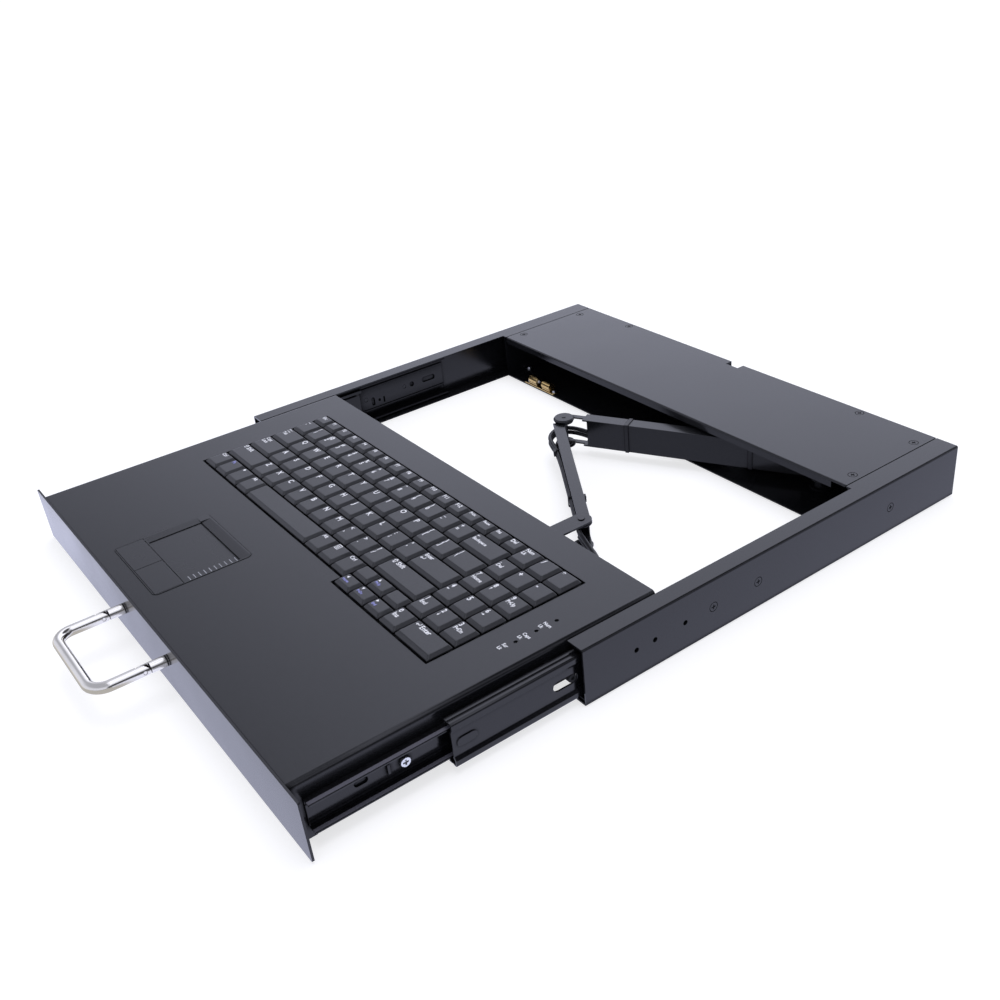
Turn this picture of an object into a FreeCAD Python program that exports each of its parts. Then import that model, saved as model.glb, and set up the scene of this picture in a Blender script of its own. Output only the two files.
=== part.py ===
import FreeCAD, Part
import Sketcher
import math
import os
import re

Vector = FreeCAD.Vector
Rotation = FreeCAD.Rotation
Placement = FreeCAD.Placement

doc = FreeCAD.newDocument("keyboard_drawer")
sheet = doc.addObject("Spreadsheet::Sheet", "Dims")
nodes = {}


sizes = {
    # The fixed frame, in millimetres: x to the right, y to the rear, z up from the channels' lower edge
    "frame_width": 447,
    "frame_height": 41.6,
    "frame_depth": 356,
    "frame_steel": 1.2,
    "flange_open": 14,
    "flange_rear": 18.4,
    "flange_bottom": 14,
    "bend": 1.5,
    "web_hole": 3.6,
    "hole_near": 40.7,
    "hole_mid": 55.8,
    "hole_far": 81.1,
    "screw_near": 105.6,
    "screw_mid": 146.1,
    "screw_far": 27.2,
    "screw_head": 6.4,
    "seat_gap": 0.45,
    "screw_shank": 3.4,
    "screw_sink": 0.9,
    "cross_long": 3.4,
    "cross_wide": 0.9,
    "cross_deep": 0.7,

    # Rear tray and its cover
    "box_depth": 102.6,
    "tray_steel": 1,
    "tray_inset": 16,
    "cover_gap": 0.9,
    "lip_height": 6.2,
    "lip_short": 12.7,
    "cover_screw_edge": 6.7,
    "cover_screw_front": 16,
    "cover_screw_rear": 17.5,
    "cover_screw_inset": 66.7,
    "cover_screw_back": 5.4,
    "notch_width": 14,
    "notch_depth": 7,
    "notch_drop": 10,

    # Ball slides: three nested members on each side
    "slide_steel": 1.2,
    "slide_front": 1,
    "slide_length": 187,
    "outer_half": 18.6,
    "outer_lip": 15.9,
    "outer_reach": 8.8,
    "middle_set": 2.6,
    "middle_half": 15.5,
    "middle_lip": 12.9,
    "middle_reach": 8.1,
    "middle_start": 89.5,
    "inner_half": 10.4,
    "inner_reach": 7.5,
    "inner_start": 174.5,
    "inner_length": 159,
    "cage_length": 95,
    "cage_gap": 0.35,
    "cage_wide": 4.6,
    "outer_cage_start": -3,
    "inner_cage_start": 85,
    "inner_cage_length": 68,
    "rib_set": 10.5,
    "rib_wide": 1.5,
    "rib_rise": 0.8,
    "bead_half": 11,
    "web_half": 8.6,
    "web_set": 1.6,
    "groove_wide": 1.2,
    "groove_deep": 0.5,
    "slide_screw_y": 115.5,
    "slide_screw_rear": 24,

    # Drawer, drawn out to the stop as in use
    "drawer_out": 182,
    "slide_room": 15,
    "drawer_depth": 252.3,
    "drawer_top": 42.5,
    "drawer_steel": 1.2,
    "drawer_bend": 3,
    "drawer_low": 8,
    "drawer_tab_low": 2.6,
    "rear_fold": 8,
    "panel_width": 446,
    "panel_height": 41.6,
    "panel_low": 1.2,
    "panel_thick": 1.5,
    "access_front": 167,
    "access_rear": 192,
    "access_high": 13.5,

    # Keyboard: opening in the drawer top, keys on a standard pitch
    "key_margin_left": 36.1,
    "key_margin_right": 38,
    "key_front": 116.5,
    "key_row": 19.2,
    "function_row": 13.2,
    "pad_front": 109,
    "pad_row": 19.45,
    "arrow_row": 13.3,
    "key_gap": 1.2,
    "key_side": 2,
    "key_face": 2.5,
    "key_back": 1.3,
    "key_sunk": 1,
    "key_rise": 2.1,
    "key_skirt": 1.15,
    "opening_edge": 1.1,
    "key_travel": 2,
    "pan_edge": 3,
    "pan_low": 31.5,
    "membrane_thick": 1,
    "key_clear": 0.3,
    "stem_wide": 5,
    "stem_deep": 4,
    "stem_fit": 0.3,
    "pan_steel": 1.2,
    "pan_ledge": 3,

    # Touch pad and indicators, measured from the front face of the panel
    "touch_left": 90,
    "touch_right": 11.4,
    "touch_front": 14.3,
    "touch_rear": 84.2,
    "touch_corner": 4,
    "touch_fit": 0.25,
    "touch_rise": 0.3,
    "touch_deep": 5,
    "surface_left": 81.5,
    "surface_right": 12.6,
    "surface_front": 36.4,
    "surface_rear": 75.6,
    "surface_sunk": 1.3,
    "surface_thick": 1,
    "button_left": 88.6,
    "button_front": 15.6,
    "button_rear": 35.2,
    "button_split": 51,
    "button_slit": 0.5,
    "button_thick": 2.6,
    "button_fit": 0.35,
    "lamp_edge": 18,
    "lamp_first": 158.4,
    "lamp_pitch": 15.3,
    "lamp_hole": 2.6,
    "lamp_fit": 0.1,

    # Folding handle
    "handle_half": 38,
    "handle_height": 26.6,
    "handle_rod": 3.75,
    "handle_hinge": 15,
    "handle_lap": 4.1,
    "handle_disc": 3.55,
    "handle_slit": 0.15,
    "handle_reach": 46.5,
    "handle_bend": 11,
    "handle_pin": 1.25,
    "ring_set": 0.3,
    "ring_wide": 0.8,
    "ring_deep": 0.6,
    "pin_play": 0.08,

    # Ball catch on the tray floor and its strike on the drawer
    "catch_edge": 65.5,
    "catch_half": 21.7,
    "catch_depth": 7.6,
    "catch_plate": 1,
    "barrel_radius": 3.8,
    "barrel_near": 4,
    "barrel_far": 15.5,
    "ball_radius": 2.5,
    "ball_centre": 4.1,
    "ball_play": 0.3,
    "strike_half": 1,
    "strike_reach": 9,
    "strike_wide": 9,

    # Cable arm: pivots in plan, link sections
    "elbow_across": 136.4,
    "elbow_back": 91.8,
    "front_pivot_edge": 111.5,
    "strap_reach": 30.7,
    "rear_pivot_edge": 74,
    "rear_pivot_set": 42,
    "link_low": 9.2,
    "link_high": 33.2,
    "link_wide": 12,
    "link_set": 0.5,
    "link_steel": 1.2,
    "link_start": 20,
    "lug_radius": 8.6,
    "link_play": 0.6,
    "bar_wide": 8.8,
    "bar_set": 0.9,
    "bar_skew": 2.7,
    "elbow_pin": 2.9,
    "post_pin": 2.5,
    "post_collar": 6,
    "post_play": 0.4,
    "strap_wide": 15,
    "strap_steel": 1.4,
    "strap_under": 20,
    "clip_first": 55,
    "clip_second": 158,
    "clip_wide": 3,
    "clip_thick": 0.6,
    "cable_radius": 1.7,
    "cable_low": 17,
    "cable_step": 4,
    "cable_bend": 9,
    "cable_rest": 0.3,
    "socket_wide": 20,
    "socket_deep": 12,
    "socket_edge": 151.5,
    "lead_edge": 73.5,
    "lead_under": 60,
}
# Places that follow from the sizes above
places = {
    "box_front": "=frame_depth - box_depth",
    "drawer_width": "=frame_width - 2 * slide_room",
    "key_left": "=drawer_width / 2 - key_margin_left",
    "key_pitch": "=(drawer_width - key_margin_left - key_margin_right) / 18",
    "tray_half": "=frame_width / 2 - tray_inset",
    "cover_half": "=frame_width / 2 - flange_rear - cover_gap",
    "catch_x": "=frame_width / 2 - catch_edge",
    "lamp_x": "=drawer_width / 2 - lamp_edge",
    "front_pivot_x": "=drawer_width / 2 - front_pivot_edge",
    "front_pivot_y": "=drawer_depth - drawer_out + strap_reach",
    "rear_pivot_x": "=frame_width / 2 - rear_pivot_edge",
    "rear_pivot_y": "=frame_depth - box_depth + rear_pivot_set",
    "elbow_x": "=drawer_width / 2 - front_pivot_edge - elbow_across",
    "elbow_y": "=drawer_depth - drawer_out + strap_reach + elbow_back",
}
for row, (name, value) in enumerate(list(sizes.items()) + list(places.items()), 1):
    sheet.set("A%d" % row, name)
    sheet.set("B%d" % row, str(value))
    sheet.setAlias("B%d" % row, name)
doc.recompute()


# Small helpers: every size below is an expression on the sheet
def words(text):
    def swap(found):
        word = found.group(0)
        return "Dims." + word if word in sizes or word in places else word
    return re.sub(r"[A-Za-z_][A-Za-z_0-9]*", swap, str(text))


def bind(thing, field, text):
    thing.setExpression(field, words(text))


def place(thing, x, y, z):
    bind(thing, "Placement.Base.x", x)
    bind(thing, "Placement.Base.y", y)
    bind(thing, "Placement.Base.z", z)


def turn(thing, axis, angle):
    thing.Placement = Placement(Vector(0, 0, 0), Rotation(axis, angle))


def box(name, x0, x1, y0, y1, z0, z1):
    made = doc.addObject("Part::Box", name)
    bind(made, "Length", "(%s) - (%s)" % (x1, x0))
    bind(made, "Width", "(%s) - (%s)" % (y1, y0))
    bind(made, "Height", "(%s) - (%s)" % (z1, z0))
    place(made, x0, y0, z0)
    return made


def stand(made, axis, start, first, second):
    if axis == "X":
        turn(made, Vector(0, 1, 0), 90)
        place(made, start, first, second)
    elif axis == "Y":
        turn(made, Vector(1, 0, 0), -90)
        place(made, first, start, second)
    else:
        place(made, first, second, start)
    return made


def rod(name, axis, radius, start, stop, first, second):
    made = doc.addObject("Part::Cylinder", name)
    bind(made, "Radius", radius)
    bind(made, "Height", "(%s) - (%s)" % (stop, start))
    return stand(made, axis, start, first, second)


def cone(name, axis, low, high, start, stop, first, second):
    made = doc.addObject("Part::Cone", name)
    bind(made, "Radius1", low)
    bind(made, "Radius2", high)
    bind(made, "Height", "(%s) - (%s)" % (stop, start))
    return stand(made, axis, start, first, second)


def prism(name, axis, radius, start, stop, first, second, sides=12):
    # Small fasteners, lamps and slot ends are made with flats
    made = doc.addObject("Part::Prism", name)
    made.Polygon = sides
    bind(made, "Circumradius", radius)
    bind(made, "Height", "(%s) - (%s)" % (stop, start))
    return stand(made, axis, start, first, second)


def fuse(name, parts):
    made = doc.addObject("Part::MultiFuse", name)
    made.Shapes = parts
    return made


def group(name, parts):
    made = doc.addObject("Part::Compound", name)
    made.Links = parts
    return made


def cut(name, base, tools):
    made = doc.addObject("Part::Cut", name)
    made.Base = base
    made.Tool = tools[0] if len(tools) == 1 else group(name + "_tools", tools)
    return made


def common(name, first, second):
    made = doc.addObject("Part::Common", name)
    made.Base = first
    made.Tool = second
    return made


def mirror(name, source):
    made = doc.addObject("Part::Mirroring", name)
    made.Source = source
    made.Normal = Vector(1, 0, 0)
    made.Base = Vector(0, 0, 0)
    return made


def slot(name, axis, radius, start, stop, low, high, level):
    # An obround tool along y, or along z with the axis word "XZ"
    if axis == "XZ":
        ends = [prism(name + "_a", "X", radius, start, stop, level, low),
                prism(name + "_b", "X", radius, start, stop, level, high)]
        mid = box(name + "_c", start, stop, "(%s) - (%s)" % (level, radius),
                  "(%s) + (%s)" % (level, radius), low, high)
    else:
        ends = [prism(name + "_a", "X", radius, start, stop, low, level),
                prism(name + "_b", "X", radius, start, stop, high, level)]
        mid = box(name + "_c", start, stop, low, high, "(%s) - (%s)" % (level, radius),
                  "(%s) + (%s)" % (level, radius))
    return fuse(name, ends + [mid])


def profile(name, plane, points, length, at, rounds=()):
    # A closed outline on one of the body's own origin planes, padded along the positive axis
    body = doc.addObject("PartDesign::Body", name)
    sketch = body.newObject("Sketcher::SketchObject", name + "_outline")
    base = [item for item in body.Origin.OriginFeatures if item.Role == plane][0]
    sketch.AttachmentSupport = [(base, "")]
    sketch.MapMode = "FlatFace"
    count = len(points)
    for i in range(count):
        here = 2 * math.pi * i / count
        after = 2 * math.pi * (i + 1) / count
        sketch.addGeometry(Part.LineSegment(Vector(50 + 20 * math.cos(here), 50 + 20 * math.sin(here), 0),
                                            Vector(50 + 20 * math.cos(after), 50 + 20 * math.sin(after),
                                                0)), False)
    for i in range(count):
        sketch.addConstraint(Sketcher.Constraint("Coincident", i, 2, (i + 1) % count, 1))
    for i, (across, up) in enumerate(points):
        number = sketch.addConstraint(Sketcher.Constraint("DistanceX", -1, 1, i, 1, 50.0))
        sketch.setExpression("Constraints[%d]" % number, words(across))
        number = sketch.addConstraint(Sketcher.Constraint("DistanceY", -1, 1, i, 1, 50.0))
        sketch.setExpression("Constraints[%d]" % number, words(up))
    pad = body.newObject("PartDesign::Pad", name + "_pad")
    pad.Profile = sketch
    bind(pad, "Length", length)
    pad.Reversed = plane == "XZ_Plane"
    place(body, *at)
    doc.recompute()
    last = pad
    for turnno, (corners, radius) in enumerate(rounds):
        wanted = []
        for number in corners:
            point = sketch.Geometry[number].StartPoint
            for index, edge in enumerate(last.Shape.Edges):
                ends = [vertex.Point for vertex in edge.Vertexes]
                if len(ends) != 2:
                    continue
                if plane == "XZ_Plane":
                    flat = [(end.x, end.z) for end in ends]
                elif plane == "YZ_Plane":
                    flat = [(end.y, end.z) for end in ends]
                else:
                    flat = [(end.x, end.y) for end in ends]
                near = [abs(u - point.x) + abs(v - point.y) < 1e-4 for u, v in flat]
                if all(near):
                    wanted.append("Edge%d" % (index + 1))
        fillet = body.newObject("PartDesign::Fillet", "%s_bend%s" % (name, "abcdef"[turnno]))
        fillet.Base = (last, wanted)
        bind(fillet, "Radius", radius)
        doc.recompute()
        last = fillet
    body.Tip = last
    return body


# The origin lies at the middle of the footprint, drawer out and handle raised
centre_y = "(drawer_out + handle_reach + handle_rod - frame_depth) / 2"


def keep(name, made):
    made.Label = name + " shape"
    piece = doc.addObject("Part::Compound", name)
    piece.Links = [made]
    place(piece, "0", centre_y, "0")
    piece.Label = name
    nodes[name] = piece
    return piece


def flat_screw(name, axis, outer, inner, first, second):
    # A flush screw with a cross recess; outer is the flush face, inner the end of its shank
    head = prism(name + "_head", axis, "screw_head / 2", "%s - screw_sink" % outer, outer, first, second)
    shank = prism(name + "_shank", axis, "screw_shank / 2", inner, "%s - screw_sink" % outer, first, second)
    whole = fuse(name + "_whole", [head, shank])
    low = "%s - cross_deep" % outer
    high = "%s + 1" % outer
    if axis == "X":
        one = box(name + "_one", low, high, "%s - cross_long / 2" % first, "%s + cross_long / 2" % first,
                  "%s - cross_wide / 2" % second, "%s + cross_wide / 2" % second)
        two = box(name + "_two", low, high, "%s - cross_wide / 2" % first, "%s + cross_wide / 2" % first,
                  "%s - cross_long / 2" % second, "%s + cross_long / 2" % second)
    else:
        one = box(name + "_one", "%s - cross_long / 2" % first, "%s + cross_long / 2" % first,
                  "%s - cross_wide / 2" % second, "%s + cross_wide / 2" % second, low, high)
        two = box(name + "_two", "%s - cross_wide / 2" % first, "%s + cross_wide / 2" % first,
                  "%s - cross_long / 2" % second, "%s + cross_long / 2" % second, low, high)
    return cut(name, whole, [fuse(name + "_cross", [one, two])])


def flat_seat(name, axis, outer, inner, first, second):
    head = prism(name + "_sink", axis, "screw_head / 2 + seat_gap", "%s - screw_sink" % outer, outer,
                 first, second)
    shank = prism(name + "_bore", axis, "screw_shank / 2", "%s - 1" % inner, outer, first, second)
    return fuse(name, [head, shank])


half = "frame_width / 2"
middle_z = "frame_height / 2"
web_in = "(frame_width / 2 - frame_steel)"

# Side channels: a folded steel channel, its top flange wider beside the rear cover
channel = profile("channel_section", "XZ_Plane", [
    ("%s - flange_bottom" % half, "0.001"),
    (half, "0.001"),
    (half, "frame_height"),
    ("%s - flange_open" % half, "frame_height"),
    ("%s - flange_open" % half, "frame_height - frame_steel"),
    (web_in, "frame_height - frame_steel"),
    (web_in, "frame_steel"),
    ("%s - flange_bottom" % half, "frame_steel")],
    "frame_depth", ("0", "0", "0"), [((1, 2), "bend")])
wide = box("channel_wide", "%s - flange_rear" % half, "%s - flange_open" % half, "box_front", "frame_depth",
           "frame_height - frame_steel", "frame_height")
tools = []
for word in ("hole_near", "hole_mid", "hole_far"):
    tools.append(rod("channel_" + word, "X", "web_hole / 2", "%s - 1" % web_in, "%s + 1" % half, word,
                     middle_z))
side_screw_at = (("near", "screw_near"), ("mid", "screw_mid"), ("far", "(box_front + screw_far)"))
for word, at in side_screw_at:
    tools.append(flat_seat("channel_screw_" + word, "X", half, web_in, at, middle_z))
right_channel = cut("right_channel", fuse("channel_blank", [channel, wide]), tools)
keep("right_channel", right_channel)
keep("left_channel", mirror("left_channel", right_channel))

# Outer slide member: a lipped channel fixed to the web by the flush side screws
outer_face = web_in
outer_end = "(%s - outer_reach)" % web_in
outer = profile("outer_section", "XZ_Plane", [
    (outer_face, "%s - outer_half" % middle_z),
    (outer_face, "%s + outer_half" % middle_z),
    (outer_end, "%s + outer_half" % middle_z),
    (outer_end, "%s + outer_lip" % middle_z),
    ("%s + slide_steel" % outer_end, "%s + outer_lip" % middle_z),
    ("%s + slide_steel" % outer_end, "%s + outer_half - slide_steel" % middle_z),
    ("%s - slide_steel" % outer_face, "%s + outer_half - slide_steel" % middle_z),
    ("%s - slide_steel" % outer_face, "%s - outer_half + slide_steel" % middle_z),
    ("%s + slide_steel" % outer_end, "%s - outer_half + slide_steel" % middle_z),
    ("%s + slide_steel" % outer_end, "%s - outer_lip" % middle_z),
    (outer_end, "%s - outer_lip" % middle_z),
    (outer_end, "%s - outer_half" % middle_z)],
    "slide_length", ("0", "slide_front", "0"), [((0, 1, 2, 11), "slide_steel * 0.8")])
reach = ("%s - slide_steel - 1" % web_in, "%s + 1" % web_in)
outer_tools = [slot("outer_slot", "XY", "2.4", reach[0], reach[1], "168", "177", middle_z),
               prism("outer_hole", "X", "2.2", reach[0], reach[1], "154.3", middle_z),
               slot("outer_upright", "XZ", "1.6", reach[0], reach[1], "%s - 6" % middle_z,
                    "%s - 1.5" % middle_z, "112.5"),
               prism("outer_pin_hole", "X", "1.2", reach[0], reach[1], "119", "%s - 4" % middle_z),
               box("outer_notch", reach[0], reach[1], "123", "124.6", "%s - 7.5" % middle_z,
                   "%s - 2.5" % middle_z),
               prism("outer_fix_near", "X", "web_hole / 2", reach[0], reach[1], "hole_near", middle_z),
               prism("outer_fix_mid", "X", "web_hole / 2", reach[0], reach[1], "hole_mid", middle_z),
               prism("outer_fix_far", "X", "web_hole / 2", reach[0], reach[1], "hole_far", middle_z),
               prism("outer_near", "X", "screw_shank / 2", reach[0], reach[1], "screw_near", middle_z),
               prism("outer_mid", "X", "screw_shank / 2", reach[0], reach[1], "screw_mid", middle_z)]
ribs = []
for word, sign in (("high", "+"), ("low", "-")):
    ribs.append(box("outer_rib_" + word, "%s - slide_steel - rib_rise" % web_in,
                    "%s - slide_steel" % web_in, "slide_front", "slide_front + slide_length",
                    "%s %s rib_set - rib_wide / 2" % (middle_z, sign),
                    "%s %s rib_set + rib_wide / 2" % (middle_z, sign)))
slide_outer_right = cut("slide_outer_right", fuse("outer_ribbed", [outer] + ribs), outer_tools)
keep("slide_outer_right", slide_outer_right)
keep("slide_outer_left", mirror("slide_outer_left", slide_outer_right))

# Flush side screws: two through each outer member, one into the tray ear
screws = []
for word, at in side_screw_at:
    screws.append(flat_screw("side_screw_" + word, "X", half, "(%s - 1)" % web_in, at, middle_z))
side_right = group("side_screws_right", screws)
keep("side_screws", group("side_screws", [side_right, mirror("side_screws_left", side_right)]))

# Middle slide member: nested channel with a ball race pressed into each flange, a window and a pressed pad
m_out = "(%s - middle_set)" % web_in
m_web = "(%s - middle_set - web_set)" % web_in
m_end = "(%s - middle_set - middle_reach)" % web_in
race = "(%s - middle_set - middle_reach / 2)" % web_in
middle = profile("middle_section", "XZ_Plane", [
    (m_out, "%s - middle_half" % middle_z),
    (m_out, "%s - bead_half" % middle_z),
    (m_web, "%s - web_half" % middle_z),
    (m_web, "%s + web_half" % middle_z),
    (m_out, "%s + bead_half" % middle_z),
    (m_out, "%s + middle_half" % middle_z),
    ("%s + 1" % race, "%s + middle_half" % middle_z),
    (race, "%s + middle_half - 0.6" % middle_z),
    ("%s - 1" % race, "%s + middle_half" % middle_z),
    (m_end, "%s + middle_half" % middle_z),
    (m_end, "%s + middle_lip" % middle_z),
    ("%s + slide_steel" % m_end, "%s + middle_lip" % middle_z),
    ("%s + slide_steel" % m_end, "%s + middle_half - slide_steel" % middle_z),
    ("%s - slide_steel" % m_out, "%s + middle_half - slide_steel" % middle_z),
    ("%s - slide_steel" % m_out, "%s + bead_half" % middle_z),
    ("%s - slide_steel" % m_web, "%s + web_half" % middle_z),
    ("%s - slide_steel" % m_web, "%s - web_half" % middle_z),
    ("%s - slide_steel" % m_out, "%s - bead_half" % middle_z),
    ("%s - slide_steel" % m_out, "%s - middle_half + slide_steel" % middle_z),
    ("%s + slide_steel" % m_end, "%s - middle_half + slide_steel" % middle_z),
    ("%s + slide_steel" % m_end, "%s - middle_lip" % middle_z),
    (m_end, "%s - middle_lip" % middle_z),
    (m_end, "%s - middle_half" % middle_z),
    ("%s - 1" % race, "%s - middle_half" % middle_z),
    (race, "%s - middle_half + 0.6" % middle_z),
    ("%s + 1" % race, "%s - middle_half" % middle_z)],
    "slide_length", ("0", "-middle_start", "0"), [((0, 5), "slide_steel * 1.3")])
m_reach = ("%s - slide_steel - 1" % m_web, "%s + 2" % m_out)
window = slot("middle_window", "XY", "3.3", m_reach[0], m_reach[1], "-15.6", "-4.4", middle_z)
pressed = slot("middle_pressed", "XY", "3.2", "%s - 0.3" % m_web, "%s + 0.7" % m_web, "-83.4", "-76",
               middle_z)
slide_middle_right = cut("slide_middle_right", fuse("middle_blank", [middle, pressed]), [window])
keep("slide_middle_right", slide_middle_right)
keep("slide_middle_left", mirror("slide_middle_left", slide_middle_right))

# Inner slide member on the drawer side, open outward
d_side = "drawer_width / 2"
i_out = "(drawer_width / 2 + inner_reach)"
inner = profile("inner_section", "XZ_Plane", [
    (d_side, "%s - inner_half" % middle_z),
    (i_out, "%s - inner_half" % middle_z),
    (i_out, "%s - inner_half + slide_steel" % middle_z),
    ("%s + slide_steel" % d_side, "%s - inner_half + slide_steel" % middle_z),
    ("%s + slide_steel" % d_side, "%s + inner_half - slide_steel" % middle_z),
    (i_out, "%s + inner_half - slide_steel" % middle_z),
    (i_out, "%s + inner_half" % middle_z),
    (d_side, "%s + inner_half" % middle_z)],
    "inner_length", ("0", "-inner_start", "0"), [((0, 7), "slide_steel * 0.8")])
i_reach = ("%s - 1" % d_side, "%s + slide_steel + 1" % d_side)
inner_tools = [slot("inner_slot", "XY", "2", i_reach[0], i_reach[1], "-144.2", "-139.8",
                    "%s + 1.2" % middle_z),
               prism("inner_near", "X", "screw_shank / 2", i_reach[0], i_reach[1], "-slide_screw_y",
                     middle_z),
               prism("inner_rear", "X", "screw_shank / 2", i_reach[0], i_reach[1], "-slide_screw_rear",
                     middle_z)]
for word, sign in (("high", "+"), ("low", "-")):
    inner_tools.append(box("inner_groove_" + word, "%s + slide_steel - groove_deep" % d_side,
                           "%s + slide_steel + 1" % d_side, "-inner_start - 1",
                           "inner_length - inner_start + 1",
                           "%s %s inner_half * 0.62 - groove_wide / 2" % (middle_z, sign),
                           "%s %s inner_half * 0.62 + groove_wide / 2" % (middle_z, sign)))
tab = box("inner_tab", "%s + slide_steel" % d_side, "%s + slide_steel + 1.4" % d_side, "-126.4", "-124.8",
          "%s - 3" % middle_z, "%s + 4" % middle_z)
slide_inner_right = fuse("slide_inner_right", [cut("inner_blank", inner, inner_tools), tab])
keep("slide_inner_right", slide_inner_right)
keep("slide_inner_left", mirror("slide_inner_left", slide_inner_right))

pans = []
for word in ("slide_screw_y", "slide_screw_rear"):
    shank = prism("pan_shank_" + word, "X", "screw_shank / 2", "%s - drawer_steel" % d_side,
                  "%s + slide_steel" % d_side, "-" + word, middle_z)
    head = prism("pan_head_" + word, "X", "screw_head / 2", "%s + slide_steel" % d_side,
                 "%s + slide_steel + 2.2" % d_side, "-" + word, middle_z)
    one = box("pan_one_" + word, "%s + slide_steel + 1.2" % d_side, "%s + slide_steel + 3" % d_side,
              "-%s - cross_long / 2" % word, "-%s + cross_long / 2" % word,
              "%s - cross_wide / 2" % middle_z, "%s + cross_wide / 2" % middle_z)
    two = box("pan_two_" + word, "%s + slide_steel + 1.2" % d_side, "%s + slide_steel + 3" % d_side,
              "-%s - cross_wide / 2" % word, "-%s + cross_wide / 2" % word,
              "%s - cross_long / 2" % middle_z, "%s + cross_long / 2" % middle_z)
    pans.append(cut("pan_" + word, fuse("pan_whole_" + word, [shank, head]),
                    [fuse("pan_cross_" + word, [one, two])]))
pans_right = group("slide_screws_right", pans)
keep("slide_screws", group("slide_screws", [pans_right, mirror("slide_screws_left", pans_right)]))


# Ball cages: strips with ball windows, running between the members
def cage(name, low, high, x_mid, width, start, length):
    strips = []
    for word, sign in (("top", "+"), ("foot", "-")):
        z0, z1 = (low, high) if sign == "+" else (high, low)
        strip = box("%s_%s_strip" % (name, word), "%s - %s / 2" % (x_mid, width),
                    "%s + %s / 2" % (x_mid, width), "-%s" % start, "%s - %s" % (length, start),
                    "%s %s (%s)" % (middle_z, sign, z0), "%s %s (%s)" % (middle_z, sign, z1))
        holes = []
        for i in range(6):
            along = "%s * %d / 12 - %s" % (length, 2 * i + 1, start)
            holes.append(box("%s_%s_ball%s" % (name, word, "abcdef"[i]), "%s - 1" % x_mid, "%s + 1" % x_mid,
                             "%s - 1" % along, "%s + 1" % along, "0", "frame_height"))
        strips.append(cut("%s_%s" % (name, word), strip, holes))
    return group(name, strips)


cage_outer_right = cage("cage_outer_right", "middle_half + cage_gap", "outer_half - slide_steel - cage_gap",
                        "(%s - 5)" % web_in, "(cage_wide - 0.2)", "outer_cage_start", "cage_length")
keep("cage_outer_right", cage_outer_right)
keep("cage_outer_left", mirror("cage_outer_left", cage_outer_right))
cage_inner_right = cage("cage_inner_right", "inner_half + cage_gap", "middle_half - slide_steel - cage_gap",
                        "(%s + inner_reach - 1.1)" % d_side, "(cage_wide - 1.2)", "inner_cage_start",
                        "inner_cage_length")
keep("cage_inner_right", cage_inner_right)
keep("cage_inner_left", mirror("cage_inner_left", cage_inner_right))

# Rear tray: floor on the lower flanges, side walls, rear wall with the cable notch, flanges for the cover
floor_z = "frame_steel"
wall_top = "frame_height - frame_steel"
floor_top = "(frame_steel + tray_steel)"
rim_low = "(%s - tray_steel)" % wall_top
notch_low = "(frame_height - notch_drop)"
rear_in = "(frame_depth - tray_steel)"
tray = [box("tray_floor", "-" + web_in, web_in, "box_front", "frame_depth", floor_z, floor_top),
        box("tray_rear_middle", "-notch_width / 2", "notch_width / 2", rear_in, "frame_depth", floor_top,
            notch_low)]
for word, sign in (("right", ""), ("left", "-")):
    spans = {"wall": ("tray_half - tray_steel", "tray_half"),
             "rim": ("tray_half - 15", "tray_half - tray_steel"),
             "ear": (web_in + " - tray_steel", web_in), "rear": ("notch_width / 2", web_in),
             "rear_rim": ("notch_width / 2", "tray_half - 15")}
    if sign:
        spans = {part: ("-(%s)" % b, "-(%s)" % a) for part, (a, b) in spans.items()}
    tray.append(box("tray_wall_" + word, spans["wall"][0], spans["wall"][1], "box_front", rear_in,
                    floor_top, wall_top))
    tray.append(box("tray_rim_" + word, spans["rim"][0], spans["rim"][1], "box_front + 6", rear_in,
                    rim_low, wall_top))
    tray.append(box("tray_rear_" + word, spans["rear"][0], spans["rear"][1], rear_in, "frame_depth",
                    floor_top, wall_top))
    tray.append(box("tray_rear_rim_" + word, spans["rear_rim"][0], spans["rear_rim"][1],
                    "frame_depth - 11", rear_in, rim_low, wall_top))
    ends = (web_in + " - tray_steel - 1", web_in + " + 1")
    if sign:
        ends = ("-(%s)" % ends[1], "-(%s)" % ends[0])
    ear = box("tray_ear_blank_" + word, spans["ear"][0], spans["ear"][1], "box_front + screw_far - 12",
              "box_front + screw_far + 12", floor_top, "frame_height - 8")
    hole = prism("tray_screw_" + word, "X", "screw_shank / 2", ends[0], ends[1],
                 "(box_front + screw_far)", middle_z)
    tray.append(cut("tray_ear_" + word, ear, [hole]))
keep("rear_tray", group("rear_tray", tray))

# Rear cover with its front lip, six flush screws and the cable notch
cover = profile("cover_section", "YZ_Plane", [
    ("0.001", "frame_height - lip_height"),
    ("frame_steel", "frame_height - lip_height"),
    ("frame_steel", "frame_height - frame_steel"),
    ("frame_depth - box_front", "frame_height - frame_steel"),
    ("frame_depth - box_front", "frame_height"),
    ("0.001", "frame_height")],
    "2 * cover_half", ("-cover_half", "box_front", "0"), [((5,), "bend")])
spots = []
for sign in ("", "-"):
    spots.append((sign + "(cover_half - cover_screw_edge)", "(box_front + cover_screw_front)"))
    spots.append((sign + "(cover_half - cover_screw_edge)", "(frame_depth - cover_screw_rear)"))
    spots.append((sign + "(cover_half - cover_screw_inset)", "(frame_depth - cover_screw_back)"))
cover_tools = [box("cover_notch", "-notch_width / 2", "notch_width / 2", "frame_depth - notch_depth",
                   "frame_depth + 1", "frame_height - notch_drop", "frame_height + 1"),
               box("cover_corner", "cover_half - lip_short", "cover_half + 1", "box_front - 1",
                   "box_front + frame_steel + 0.6", "0", "frame_height - frame_steel")]
heads = []
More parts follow.
